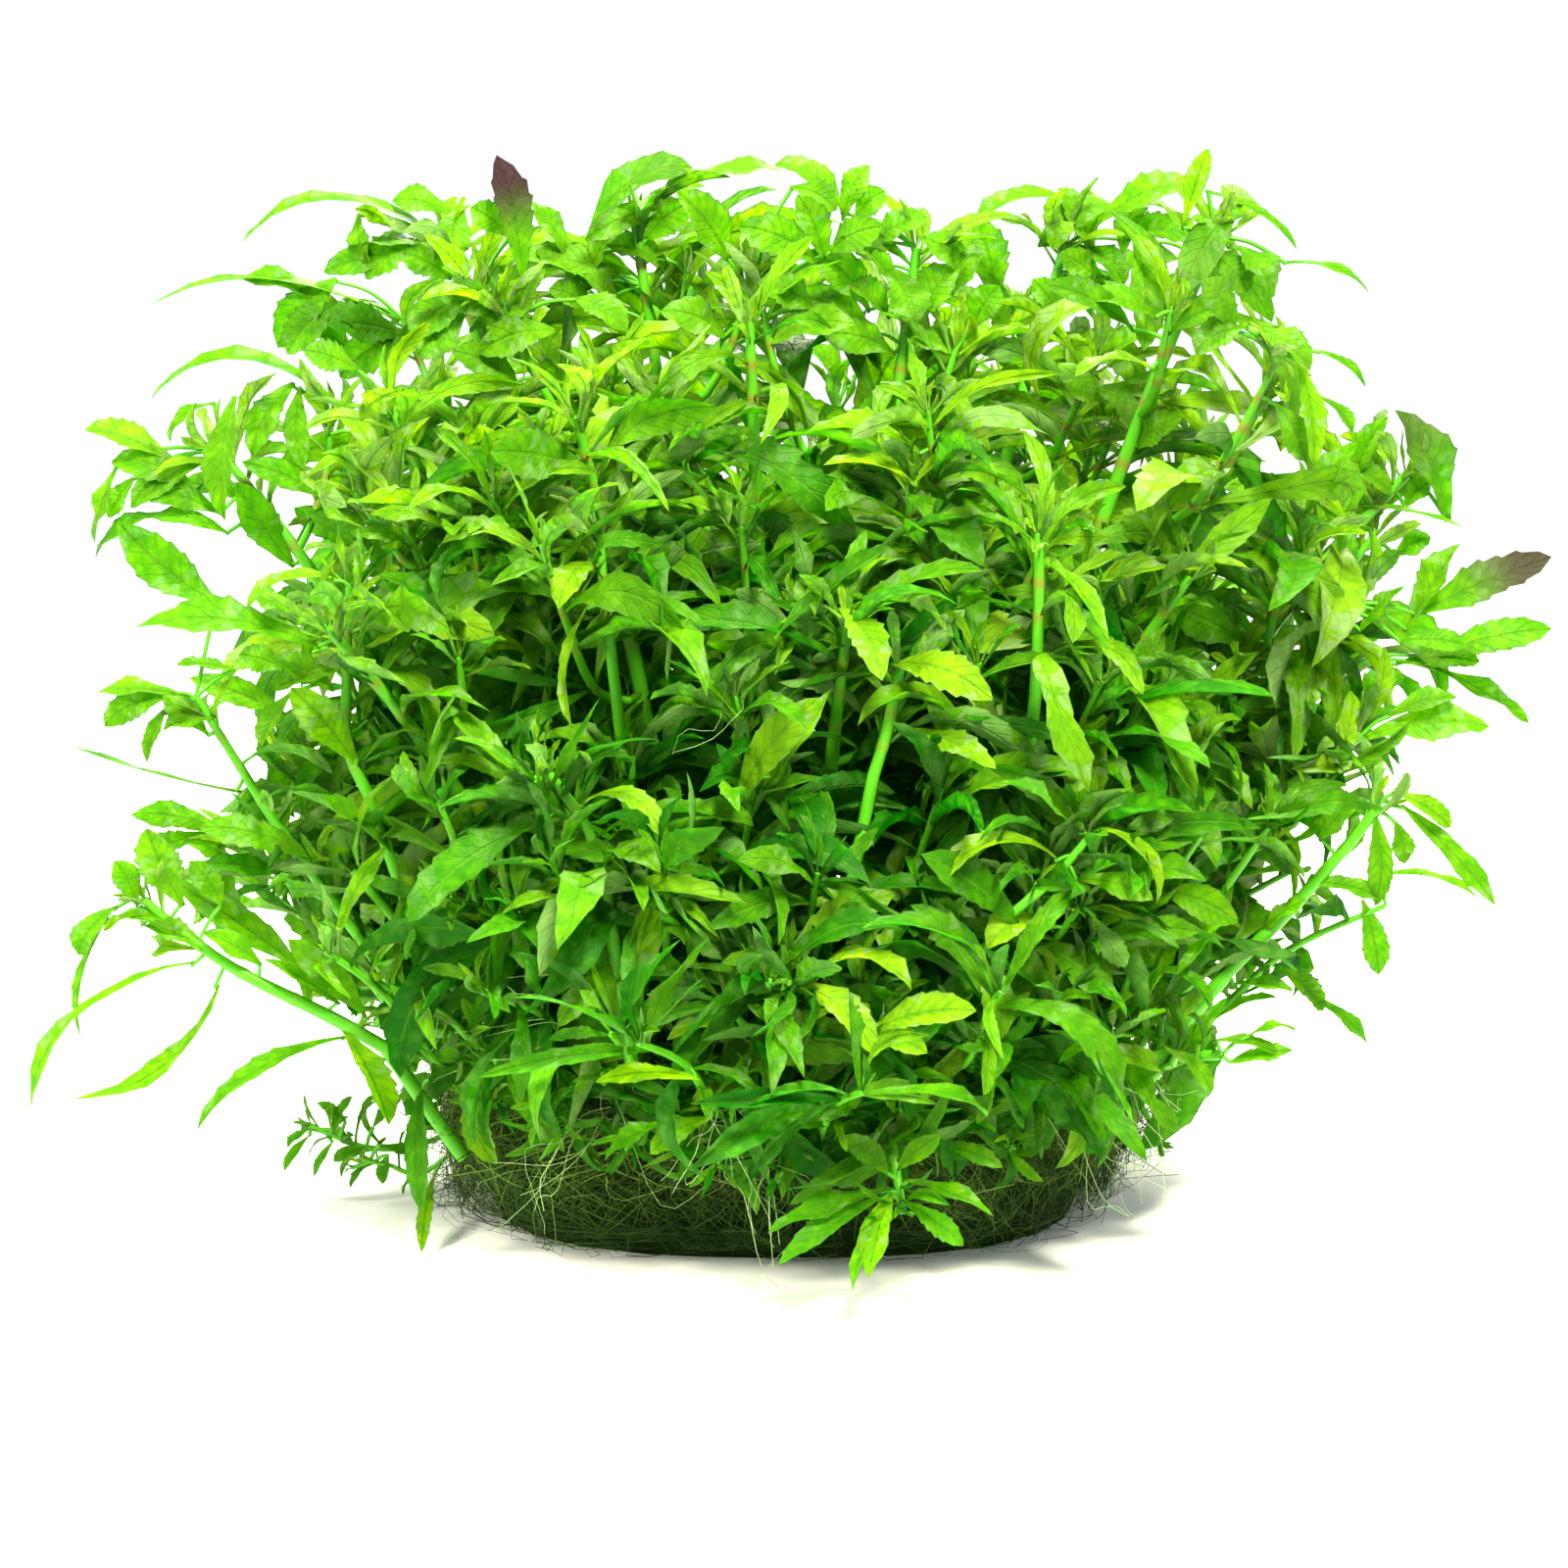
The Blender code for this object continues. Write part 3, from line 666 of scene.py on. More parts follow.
class Course:
    """The middle line of a stem, smooth from its root to its tip."""

    def __init__(self, knots):
        self.knots = [Vector(knot) for knot in knots]
        runs = [(b - a).length for a, b in zip(self.knots, self.knots[1:])]
        self.marks = np.concatenate(([0.0], np.cumsum(runs)))
        self.length = float(self.marks[-1])

    def point(self, distance):
        """The place that lies so far along the stem."""
        distance = min(max(distance, 0.0), self.length)
        span = min(int(np.searchsorted(self.marks, distance, side="right")) - 1, len(self.knots) - 2)
        share = (distance - self.marks[span]) / (self.marks[span + 1] - self.marks[span])
        before = self.knots[max(span - 1, 0)]
        start = self.knots[span]
        end = self.knots[span + 1]
        after = self.knots[min(span + 2, len(self.knots) - 1)]
        leaving = (end - before) * 0.5
        arriving = (after - start) * 0.5
        square = share * share
        cube = square * share
        return (start * (2 * cube - 3 * square + 1) + leaving * (cube - 2 * square + share)
                + end * (3 * square - 2 * cube) + arriving * (cube - square))

    def heading(self, distance):
        """Which way the stem grows there."""
        step = 0.0015
        return (self.point(distance + step) - self.point(distance - step)).normalized()


def centre_line(node):
    """The middle of each ring of a CAD stem, from its root up."""
    shape = bmesh.new()
    shape.from_mesh(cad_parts[node].data)
    bmesh.ops.remove_doubles(shape, verts=shape.verts, dist=SMALLEST_STEP)
    shape.verts.index_update()
    floor = min(point.co.z for point in shape.verts)
    level = {point for point in shape.verts if point.co.z < floor + 0.0001}
    seen = set(level)
    centres = []
    while level:
        # Added up in the order of the mesh, so that every run rounds alike.
        ring = sorted(level, key=lambda point: point.index)
        centres.append(sum((point.co for point in ring), Vector()) / len(ring))
        reached = {edge.other_vert(point) for point in level for edge in point.link_edges}
        level = reached - seen
        seen |= level
    shape.free()
    return centres


def leaf_outline(along):
    """A leaf's half width there, as a share of its greatest: it is widest past the middle."""
    foot = LEAF_BASE_WIDTH * (1.0 - along) ** 2
    blade = along ** 1.9 * (1.0 - along) ** 0.9 / 0.1723
    return foot + blade * (1.0 - LEAF_BASE_WIDTH * 0.15)


def make_leaf_blank():
    """One flat toothed leaf, a closed lens in section, that every leaf of the bush is grown from."""
    pitch = (TEETH_TO - TEETH_FROM) / LEAF_TEETH
    rows = [(0.0, 0.0), (0.12, 0.0), (0.24, 0.0)]
    for tooth in range(LEAF_TEETH):
        rows.append((TEETH_FROM + tooth * pitch, -1.0))
        rows.append((TEETH_FROM + (tooth + 0.80) * pitch, 1.0))
    shape = bmesh.new()
    blade = []
    across = []
    teeth = []

    def place(along, side, lift, tooth):
        blade.append((along, side * leaf_outline(along), lift))
        across.append(side)
        teeth.append(tooth * side * leaf_outline(along))
        return shape.verts.new((along, side * leaf_outline(along), lift * 0.01))

    rings = []
    for along, tooth in rows:
        left_along = along - 0.35 * pitch if tooth else along
        rings.append((
            place(left_along, -1.0, 0.0, tooth),
            place(along, 0.0, 1.0, 0.0),
            place(along, 1.0, 0.0, tooth),
            place(along, 0.0, -1.0, 0.0),
        ))
    tip = place(1.0, 0.0, 0.0, 0.0)
    for lower, upper in zip(rings, rings[1:]):
        for side in range(4):
            after = (side + 1) % 4
            shape.faces.new((lower[side], lower[after], upper[after], upper[side]))
    for side in range(4):
        shape.faces.new((rings[-1][side], rings[-1][(side + 1) % 4], tip))
    shape.faces.new(rings[0])
    bmesh.ops.recalc_face_normals(shape, faces=shape.faces)
    rims = [(lower[side], upper[side]) for lower, upper in zip(rings, rings[1:]) for side in (0, 2)]
    rims += [(rings[-1][0], tip), (rings[-1][2], tip)]
    for start, end in rims:
        shape.edges.get((start, end)).smooth = False
    mesh = bpy.data.meshes.new("leaf_blank")
    shape.to_mesh(mesh)
    shape.free()
    for face in mesh.polygons:
        face.use_smooth = True
    carry(mesh, "blade", blade, "FLOAT_VECTOR")
    carry(mesh, "across", across)
    carry(mesh, "tooth", teeth)
    return bpy.data.objects.new("leaf_blank", mesh)


def leaf_tree():
    """Grows a leaf at each point, then bends, folds, twists and ripples it as the point says."""
    growth = Growth("leaves_on_stem")
    blank = growth.input("Leaf", "Object")
    thickness = growth.input("Thickness", "Float", LEAF_THICKNESS)
    skin = growth.input("Skin", "Material")
    shape = growth.node("GeometryNodeObjectInfo", output="Geometry", Object=blank)
    leaves = growth.node("GeometryNodeInstanceOnPoints", Points=growth.start(), Instance=shape)
    leaves = growth.node("GeometryNodeRealizeInstances", Geometry=leaves)

    along, half, lift = parts_of(growth.attribute("blade", "FLOAT_VECTOR"))
    along = along ** growth.attribute("belly")
    low_bend = growth.attribute("low_bend")
    high_bend = growth.attribute("high_bend")
    before = maths(growth.tree, "MINIMUM", along, LEAF_WAIST)
    beyond = maths(growth.tree, "MAXIMUM", along - LEAF_WAIST, 0.0)
    low_rate = low_bend / LEAF_WAIST
    high_rate = high_bend / (1.0 - LEAF_WAIST)
    low_turn = low_rate * before
    turn = low_turn + high_rate * beyond

    def sine(angle):
        return maths(growth.tree, "SINE", angle)

    def cosine(angle):
        return maths(growth.tree, "COSINE", angle)

    forward = sine(low_turn) / low_rate + (sine(turn) - sine(low_turn)) / high_rate
    drop = (1.0 - cosine(low_turn)) / low_rate + (cosine(low_turn) - cosine(turn)) / high_rate

    way = growth.attribute("way", "FLOAT_VECTOR")
    face = growth.attribute("face", "FLOAT_VECTOR")
    side = vector_maths(growth.tree, "CROSS_PRODUCT", face, way)
    upright = total(scaled(way, sine(turn)), scaled(face, cosine(turn)))
    roll = growth.attribute("roll") + growth.attribute("twist") * along
    rolled_side = total(scaled(side, cosine(roll)), scaled(upright, sine(roll)))
    rolled_up = total(scaled(upright, cosine(roll)), scaled(side, 0.0 - sine(roll)))

    long = growth.attribute("long")
    wide = growth.attribute("wide")
    width = (half + growth.attribute("tooth") * growth.attribute("jag")) * wide
    spread = maths(growth.tree, "ABSOLUTE", width)
    fold = growth.attribute("fold")
    wave = sine(along * 12.0 + growth.attribute("phase") + maths(growth.tree, "SIGN", half) * 1.1)
    rise = spread * (sine(fold) + wave * growth.attribute("ripple"))
    flesh = lift * thickness * (0.45 + 1.3 * (1.0 - along) ** 2.0)
    sway = long * growth.attribute("sweep") * along * (1.0 - along)

    place = total(
        growth.attribute("seat", "FLOAT_VECTOR"),
        scaled(way, long * forward),
        scaled(face, 0.0 - long * drop),
        scaled(side, sway),
        scaled(rolled_side, width * cosine(fold)),
        scaled(rolled_up, rise + flesh),
    )
    leaves = growth.node("GeometryNodeSetPosition", Geometry=leaves, Position=place)
    leaves = growth.node("GeometryNodeSetMaterial", Geometry=leaves, Material=skin)
    growth.finish(leaves)
    return growth


def sweep_tree():
    """Draws out stems and threads along their middle lines, as thick as each point says."""
    growth = Growth("drawn_along_line")
    sides = growth.input("Sides", "Int", 10)
    skin = growth.input("Skin", "Material")
    line = growth.node("GeometryNodeMeshToCurve", Mesh=growth.start())
    ring = growth.node("GeometryNodeCurvePrimitiveCircle", Resolution=sides, Radius=1.0)
    thickness = growth.attribute("thickness")
    rod = growth.node("GeometryNodeCurveToMesh", Curve=line, Profile_Curve=ring, Scale=thickness,
                      Fill_Caps=True)
    rod = growth.node("GeometryNodeSetShadeSmooth", Geometry=rod)
    rod = growth.node("GeometryNodeRealizeInstances", Geometry=rod)
    rod = growth.node("GeometryNodeSetMaterial", Geometry=rod, Material=skin)
    growth.finish(rod)
    return growth


class Foliage:
    """The leaves of one stem, gathered one at a time."""

    def __init__(self):
        self.leaves = []

    def add(self, seat, way, face, **sizes):
        face = (face - way * face.dot(way)).normalized()
        self.leaves.append({"seat": tuple(seat), "way": tuple(way), "face": tuple(face), **sizes})

    def mesh(self, name):
        """One point for each leaf, which carries what the leaf looks like."""
        mesh = bpy.data.meshes.new(name)
        mesh.from_pydata([leaf["seat"] for leaf in self.leaves], [], [])
        for key, value in self.leaves[0].items():
            kind = "FLOAT_VECTOR" if isinstance(value, tuple) else "FLOAT"
            carry(mesh, key, [leaf[key] for leaf in self.leaves], kind)
        return mesh


class Lines:
    """Middle lines of stems or threads, gathered one at a time."""

    def __init__(self):
        self.points = []
        self.edges = []
        self.thickness = []
        self.ring = []

    def add(self, points, thickness, ring=None):
        start = len(self.points)
        self.points += [tuple(point) for point in points]
        self.edges += [(start + step, start + step + 1) for step in range(len(points) - 1)]
        self.thickness += list(thickness)
        self.ring += list(ring) if ring is not None else [0.0] * len(points)

    def mesh(self, name):
        mesh = bpy.data.meshes.new(name)
        mesh.from_pydata(self.points, self.edges, [])
        carry(mesh, "thickness", self.thickness)
        carry(mesh, "ring", self.ring)
        return mesh


def around(heading, angle):
    """A direction square to a stem, turned round it by an angle."""
    side = heading.cross(Vector((0.0, 1.0, 0.0)))
    if side.length < 0.2:
        side = heading.cross(Vector((1.0, 0.0, 0.0)))
    side.normalize()
    return side * math.cos(angle) + heading.cross(side) * math.sin(angle)


def arc(low_bend, high_bend, along=1.0):
    """How far forward a bent leaf one long reaches, and how far it drops, at a place along it."""
    low_rate = low_bend / LEAF_WAIST
    high_rate = high_bend / (1.0 - LEAF_WAIST)
    low_turn = low_rate * min(along, LEAF_WAIST)
    turn = low_turn + high_rate * max(along - LEAF_WAIST, 0.0)
    forward = math.sin(low_turn) / low_rate + (math.sin(turn) - math.sin(low_turn)) / high_rate
    drop = (1.0 - math.cos(low_turn)) / low_rate + (math.cos(low_turn) - math.cos(turn)) / high_rate
    return forward, drop


class Shoot:
    """A leafy stem or side shoot: its course, its thickness, and how big and close its leaves are."""

    def __init__(self, stem, course, base, tip, vigour, spacing, bare, upright=0.5):
        self.stem = stem
        self.course = course
        self.base = base
        self.tip = tip
        self.vigour = vigour
        self.spacing = spacing
        self.bare = bare
        self.upright = upright

    def thickness(self, distance):
        return self.base + (self.tip - self.base) * (distance / self.course.length) ** 2

    def joints(self):
        """How far along its whorls of leaves sit, from the tip down."""
        distance = self.course.length
        gap = 0.0035
        while distance > self.bare:
            yield distance
            distance -= gap
            gap = min(self.spacing, gap * 1.38)


def grow_leaf(foliage, dice, room, shoot, distance, outwards):
    """One leaf: young ones short and upright, old ones long, arched and hanging."""
    below_tip = shoot.course.length - distance
    heading = shoot.course.heading(distance)
    seat = shoot.course.point(distance) + outwards * shoot.thickness(distance) * 0.6
    grown = 1.0 - math.exp(-below_tip / GROWING_STRETCH)
    old = min(1.0, below_tip / AGEING_STRETCH)
    length = shoot.vigour * (YOUNG_LEAF + GROWN_LEAF * grown) * dice.uniform(0.60, 1.25)
    rise = YOUNG_RISE - GROWN_FALL * grown - OLD_FALL * old + dice.normal(0.0, RISE_SPREAD)
    rise = math.radians(rise)
    growing = heading.lerp(UP, shoot.upright).normalized()
    outwards = (outwards - growing * outwards.dot(growing)).normalized()
    way = outwards * math.cos(rise) + growing * math.sin(rise)
    face = growing * math.cos(rise) - outwards * math.sin(rise)
    droop = (0.35 + 1.55 * grown) * dice.uniform(0.55, 1.35)
    low_share = dice.uniform(0.20, 0.65)
    low_bend = max(0.05, droop * low_share)
    high_bend = max(0.05, droop * (1.0 - low_share))
    places = []
    for along in (1.0, 0.75, 0.5):
        forward, drop = arc(low_bend, high_bend, along)
        places.append(seat + (way * forward - face * drop) * length)
    tip, _, middle = places
    if tip.z < GROUND_CLEARANCE or not all(room.inside(point) for point in places):
        return False
    if not (NEAREST < tip.y < FURTHEST and NEAREST < middle.y < FURTHEST):
        return False
    if below_tip > TUFT and (room.hides(middle) or room.hides(tip)):
        return False
    # Painted light and shade: seats high in the bush and near its sides make the leaf yellower and
    # brighter, low and inner seats leave it darker green.
    height = min(1.0, max(0.0, (seat.z - 0.15) / 0.12))
    rim = min(1.0, abs(seat.x) / 0.20)
    young = math.exp(-below_tip / 0.02)
    tint = LEAST_YELLOW + TOP_YELLOW_AND_PAINTED_LIGHT * height + SIDE_PAINTED_LIGHT * rim ** 2 + YOUNG_YELLOW * young
    tint += dice.normal(0.0, YELLOW_SPREAD)
    bronze = max(0.0, dice.normal(0.0, 0.22)) * height * min(1.0, max(0.0, seat.x / 0.12))
    foliage.add(
        seat, way, face,
        long=length,
        wide=length * dice.uniform(0.065, 0.130),
        low_bend=low_bend,
        high_bend=high_bend,
        fold=dice.uniform(0.10, 0.95),
        roll=dice.normal(0.0, 0.45),
        twist=dice.normal(0.0, 1.20),
        sweep=dice.normal(0.0, 0.45),
        ripple=dice.uniform(0.10, 0.48),
        phase=dice.uniform(0.0, math.tau),
        jag=dice.uniform(0.03, 0.10),
        belly=dice.uniform(0.90, 1.50),
        tint=min(0.80, max(0.04, tint)),
        shade=dice.uniform() ** 1.5,
        blush=min(0.5, bronze),
    )
    return True


def grow_shoot(foliage, lines, dice, room, shoot):
    """A stem with its whorls of leaves, its red-brown nodes, and a tuft at its tip."""
    course = shoot.course
    joints = list(shoot.joints())
    turn = dice.uniform(0.0, math.tau)
    for count, distance in enumerate(joints):
        leaves = 3 if count == 0 else int(dice.choice((3, 3, 4)))
        turn += math.tau * WHORL_TURN
        for leaf in range(leaves):
            angle = turn + math.tau * leaf / leaves + dice.normal(0.0, 0.25)
            for attempt in range(3):
                outwards = around(course.heading(distance), angle + attempt * 0.9)
                if grow_leaf(foliage, dice, room, shoot, distance, outwards):
                    break
    knees = joints[3:] or joints
    marks = {0.0, course.length}
    for knee in knees:
        marks |= {knee - 0.0090, knee - 0.0024, knee, knee + 0.0024, knee + 0.0090}
    marks = sorted(mark for mark in marks if 0.0 <= mark <= course.length)
    rings = []
    widths = []
    for mark in marks:
        nearness = min(abs(mark - knee) for knee in knees)
        ring = math.exp(-(nearness / 0.0016) ** 2)
        rings.append(ring)
        waist = 1.0 + 0.13 * ring - 0.05 * math.exp(-(nearness / 0.005) ** 2)
        widths.append(shoot.thickness(mark) * waist)
    lines.add([course.point(mark) for mark in marks], widths, rings)


def side_shoots(dice, stem, course, outermost):
    """Side shoots: each leaves the stem at a joint, then turns up beside it."""
    turn = dice.uniform(0.0, math.tau)
    tip = course.knots[-1]
    away = Vector((tip.x / BUSH_HALF_WIDTH, tip.y / BUSH_HALF_DEPTH, 0.0))
    away = away.normalized() if away.length > 0.1 else Vector((0.0, -1.0, 0.0))
    for share in (LOW_SHOOTS if outermost else ()) + SIDE_SHOOTS:
        distance = course.length * (share + dice.uniform(-0.04, 0.04))
        length = min(LONGEST_SIDE_SHOOT, (course.length - distance) * dice.uniform(0.65, 0.95))
        turn += math.tau * SIDE_SHOOT_TURN
        heading = course.heading(distance)
        outwards = around(heading, turn)
        seat = course.point(distance)
        if share in LOW_SHOOTS:
            length = dice.uniform(0.045, 0.085)
            outwards = (outwards * 0.7 + away - UP * 0.1).normalized()
            heading = outwards
        elif outwards.dot(away) < 0.0 and dice.uniform() < 0.35:
            outwards = -outwards
        rising = (heading * 0.5 + UP * 0.5).normalized()
        spread = dice.uniform(0.80, 1.20)
        side = Course([
            seat,
            seat + (outwards * 0.28 * spread + heading * 0.18) * length,
            seat + (outwards * 0.46 * spread + rising * 0.48) * length,
            seat + (outwards * 0.58 * spread + rising * 0.82) * length,
        ])
        yield Shoot(stem, side, base=0.0015, tip=0.0009, vigour=0.98, spacing=0.017,
                    bare=side.length * 0.3)


def grow_prominent(foliages, lines, sight, room, shoots, row):
    """A leaf that stands out, from the nearest shoot to where its tip is seen."""
    foot_across, foot_up, tip_across, tip_up, width, facing, arch, nearer, *hue = row
    tint, blush = [percent / 100.0 for percent in (*hue, *USUAL_HUE[len(hue):])]
    foot = Vector((foot_across * MM, foot_up * MM))
    found = []
    for shoot in shoots:
        for step in range(25):
            point = shoot.course.point(shoot.course.length * step / 24)
            gap = (Vector(sight.seen(point)) - foot).length
            found.append((gap, point.y, shoot.stem, point))
    close = [entry for entry in found if entry[0] < 0.006]
    if close:
        gap, depth, stem, joint = min(close, key=lambda entry: entry[1])
    else:
        gap, depth, stem, joint = min(found, key=lambda entry: entry[0] + 0.05 * max(entry[1], 0.0))
    seat = sight.place(foot.x, foot.y, max(depth, NEAREST + 0.010))
    tip = sight.place(tip_across * MM, tip_up * MM, max(depth - nearer * MM, NEAREST))
    if (seat - joint).length > 0.002:
        bow = (seat + joint) / 2.0 + UP * 0.1 * (seat - joint).length
        stalk = Course([joint, bow, seat + (tip - seat) * 0.03])
        path = [stalk.point(stalk.length * step / STALK_STEPS) for step in range(STALK_STEPS + 1)]
        lines[stem].add(path, [STALK_THICKNESS] * len(path))
    bend = math.radians(arch)
    low_bend = 0.42 * bend
    high_bend = 0.58 * bend
    forward, drop = arc(low_bend, high_bend)
    lean = math.atan2(drop, forward)
    run = (tip - seat).normalized()
    viewer = (sight.eye - seat).normalized()
    viewer = (viewer - run * viewer.dot(run)).normalized()
    above = run.cross(viewer)
    bow = -0.35 * bend
    if above.dot(UP + Vector((seat.x, 0.0, 0.0)) * 2.0) < 0.0:
        above = -above
        bow = -bow
    turned = math.radians(facing + 12.0)
    lift = viewer * math.cos(turned) + above * math.sin(turned)
    dice = np.random.default_rng(int(abs(foot_across) * 400 + foot_up + 40))
    foliages[stem].add(
        seat,
        run * math.cos(lean) + lift * math.sin(lean),
        lift * math.cos(lean) - run * math.sin(lean),
        long=(tip - seat).length / math.hypot(forward, drop),
        wide=width * MM / 2.0,
        low_bend=low_bend,
        high_bend=high_bend,
        fold=dice.uniform(0.10, 0.60),
        roll=0.0,
        twist=dice.normal(0.0, 0.5),
        sweep=bow * (1.0 - math.sin(turned)),
        ripple=dice.uniform(0.08, 0.32),
        phase=dice.uniform(0.0, math.tau),
        jag=dice.uniform(0.04, 0.10),
        belly=dice.uniform(1.00, 1.45),
        # Painted light and shade: the row's yellow brightens the leaf, and a less yellow leaf is
        # darkened towards the shaded green.
        tint=0.18 + 0.66 * tint,
        shade=(1.0 - tint) * dice.uniform(0.0, 0.9),
        blush=blush,
    )
    room.keep_clear(seat, tip, width * MM / 2.0 + 0.002)


class Paint:
    """A material's tree: its shader, and wires for what varies over the surface."""

    def __init__(self, name, roughness, gloss=0.5):
        self.material = bpy.data.materials.new(name)
        self.material.use_nodes = True
        self.tree = self.material.node_tree
        self.shader = self.tree.nodes["Principled BSDF"]
        self.shader.inputs["Roughness"].default_value = roughness
        self.shader.inputs["Specular IOR Level"].default_value = gloss

    def coloured(self, colour):
        feed(self.tree, self.shader.inputs["Base Color"], colour)
        return self.material

    def attribute(self, name, output="Fac"):
        """Reads a value that the mesh carries."""
        node = self.tree.nodes.new("ShaderNodeAttribute")
        node.attribute_name = name
        return Wire(self.tree, node.outputs[output])

    def place(self):
        """Where on the plant the surface is, in metres."""
        return Wire(self.tree, self.tree.nodes.new("ShaderNodeTexCoord").outputs["Object"])

    def blend(self, factor, first, second):
        node = self.tree.nodes.new("ShaderNodeMix")
        node.data_type = "RGBA"
        feed(self.tree, node.inputs["Factor"], factor)
        feed(self.tree, node.inputs[6], first)
        feed(self.tree, node.inputs[7], second)
        return Wire(self.tree, node.outputs[2])

    def noise(self, scale, detail):
        node = self.tree.nodes.new("ShaderNodeTexNoise")
        feed(self.tree, node.inputs["Vector"], self.place())
        node.inputs["Scale"].default_value = scale
        node.inputs["Detail"].default_value = detail
        return Wire(self.tree, node.outputs["Fac"])


def leaf_material():
    """Thin green blade: soft quilting, and ribs and veins that are darkest in light from behind."""
    paint = Paint("leaf_green", roughness=0.42, gloss=0.10)
    tree = paint.tree
    blend = paint.blend

    def ramp(dark, middle, bright):
        return blend(tint, blend(tint, dark, middle), blend(tint, middle, bright))

    along, _, lift = parts_of(paint.attribute("blade", "Vector"))
    across = maths(tree, "ABSOLUTE", paint.attribute("across"))
    rib = 1.0 - smooth_step(across, 0.03, 0.13)
    stripe = maths(tree, "FRACT", along * SIDE_VEINS - across * 1.7)
    vein = 1.0 - smooth_step(maths(tree, "ABSOLUTE", stripe - 0.5), 0.03, 0.12)
    vein = vein * smooth_step(along, 0.2, 0.4)
    edge = smooth_step(across, 0.84, 1.0)
    mottle_and_shadow = smooth_step(paint.noise(260.0, 2.0), 0.35, 0.7)
    blush = paint.attribute("blush") * smooth_step(along, 0.35, 0.85)
    tint = maths(tree, "MINIMUM", paint.attribute("tint") + (mottle_and_shadow - 0.5) * 0.18, 1.0)

    skin = blend(vein * 0.08, ramp(*LEAF_SKIN), VEIN_SKIN)
    skin = blend(rib * 0.25, skin, RIB_SKIN)
    # Pale undersides are the leaf's own, but weighted by the tint they show most near the top and the
    # sides, where they also serve as painted sheen.
    beneath = 1.0 - smooth_step(lift, -0.2, 0.2)
    skin = blend(beneath * tint * 0.60, skin, UNDERSIDE_AND_SHEEN)
    skin = blend(blush, skin, PURPLE_SKIN)
    # Painted shadow: noise patches and each leaf's shade value darken the light through the leaf
    # towards the shaded green, as shadows of other leaves would.
    painted_shadow = (1.0 - mottle_and_shadow) * 0.20 + paint.attribute("shade") * 0.40
    glow = blend(painted_shadow, ramp(*LEAF_GLOW), SHADED_GLOW)
    glow = blend(rib * 0.65 + vein * 0.35, glow, VEIN_GLOW)
    glow = blend(edge * 0.50, glow, EDGE_GLOW)
    glow = blend(blush, glow, PURPLE_GLOW)

    material = paint.coloured(skin)
    bump = tree.nodes.new("ShaderNodeBump")
    bump.inputs["Strength"].default_value = 0.8
    bump.inputs["Distance"].default_value = 0.0006
    feed(tree, bump.inputs["Height"], paint.noise(520.0, 1.0) * 0.5 - vein * 0.35 - rib * 0.5)
    tree.links.new(bump.outputs["Normal"], paint.shader.inputs["Normal"])
    through = tree.nodes.new("ShaderNodeBsdfTranslucent")
    feed(tree, through.inputs["Color"], glow)
    mix = tree.nodes.new("ShaderNodeMixShader")
    mix.inputs["Fac"].default_value = 0.68
    tree.links.new(paint.shader.outputs[0], mix.inputs[1])
    tree.links.new(through.outputs[0], mix.inputs[2])
    tree.links.new(mix.outputs[0], tree.nodes["Material Output"].inputs["Surface"])
    return material


def stem_material():
    """Waxy green stems, with joints that turn red-brown near the top of the bush."""
    paint = Paint("stem_green", roughness=0.35, gloss=0.2)
    height = parts_of(paint.place())[2]
    redness = paint.attribute("ring") * (smooth_step(height, 0.10, 0.24) * 0.60 + 0.08)
    return paint.coloured(paint.blend(redness, STEM_GREEN, JOINT_RED))


def root_material():
    """Olive threads, some of them pale, and all darker towards the ground as painted shade."""
    paint = Paint("root_pale", roughness=0.6, gloss=0.1)
    height = parts_of(paint.place())[2]
    # Painted shade: the threads darken towards the ground, where the mat is in shadow.
    pale = (smooth_step(height, 0.004, 0.044) * 0.80 + 0.14) * (paint.attribute("ring") + 0.08)
    return paint.coloured(paint.blend(pale, ROOT_DEEP, ROOT_PALE))


def hand_over(piece, slot, *nodes):
    """A finished piece rides on the plant and takes its place among the CAD nodes."""
    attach(piece, "root")
    if nodes:
        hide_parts(*nodes)


def shown_knots(knots, room):
    """A stem's knots up to where it would show in the open: a low stem stops at the first gap."""
    if knots[-1].z < LOW_TIP_HEIGHT:
        for number in range(FEWEST_KNOTS, len(knots)):
            if not room.inside(knots[number]):
                return knots[:number]
    while len(knots) > FEWEST_KNOTS and not room.inside(knots[-1]):
        knots = knots[:-1]
    return knots


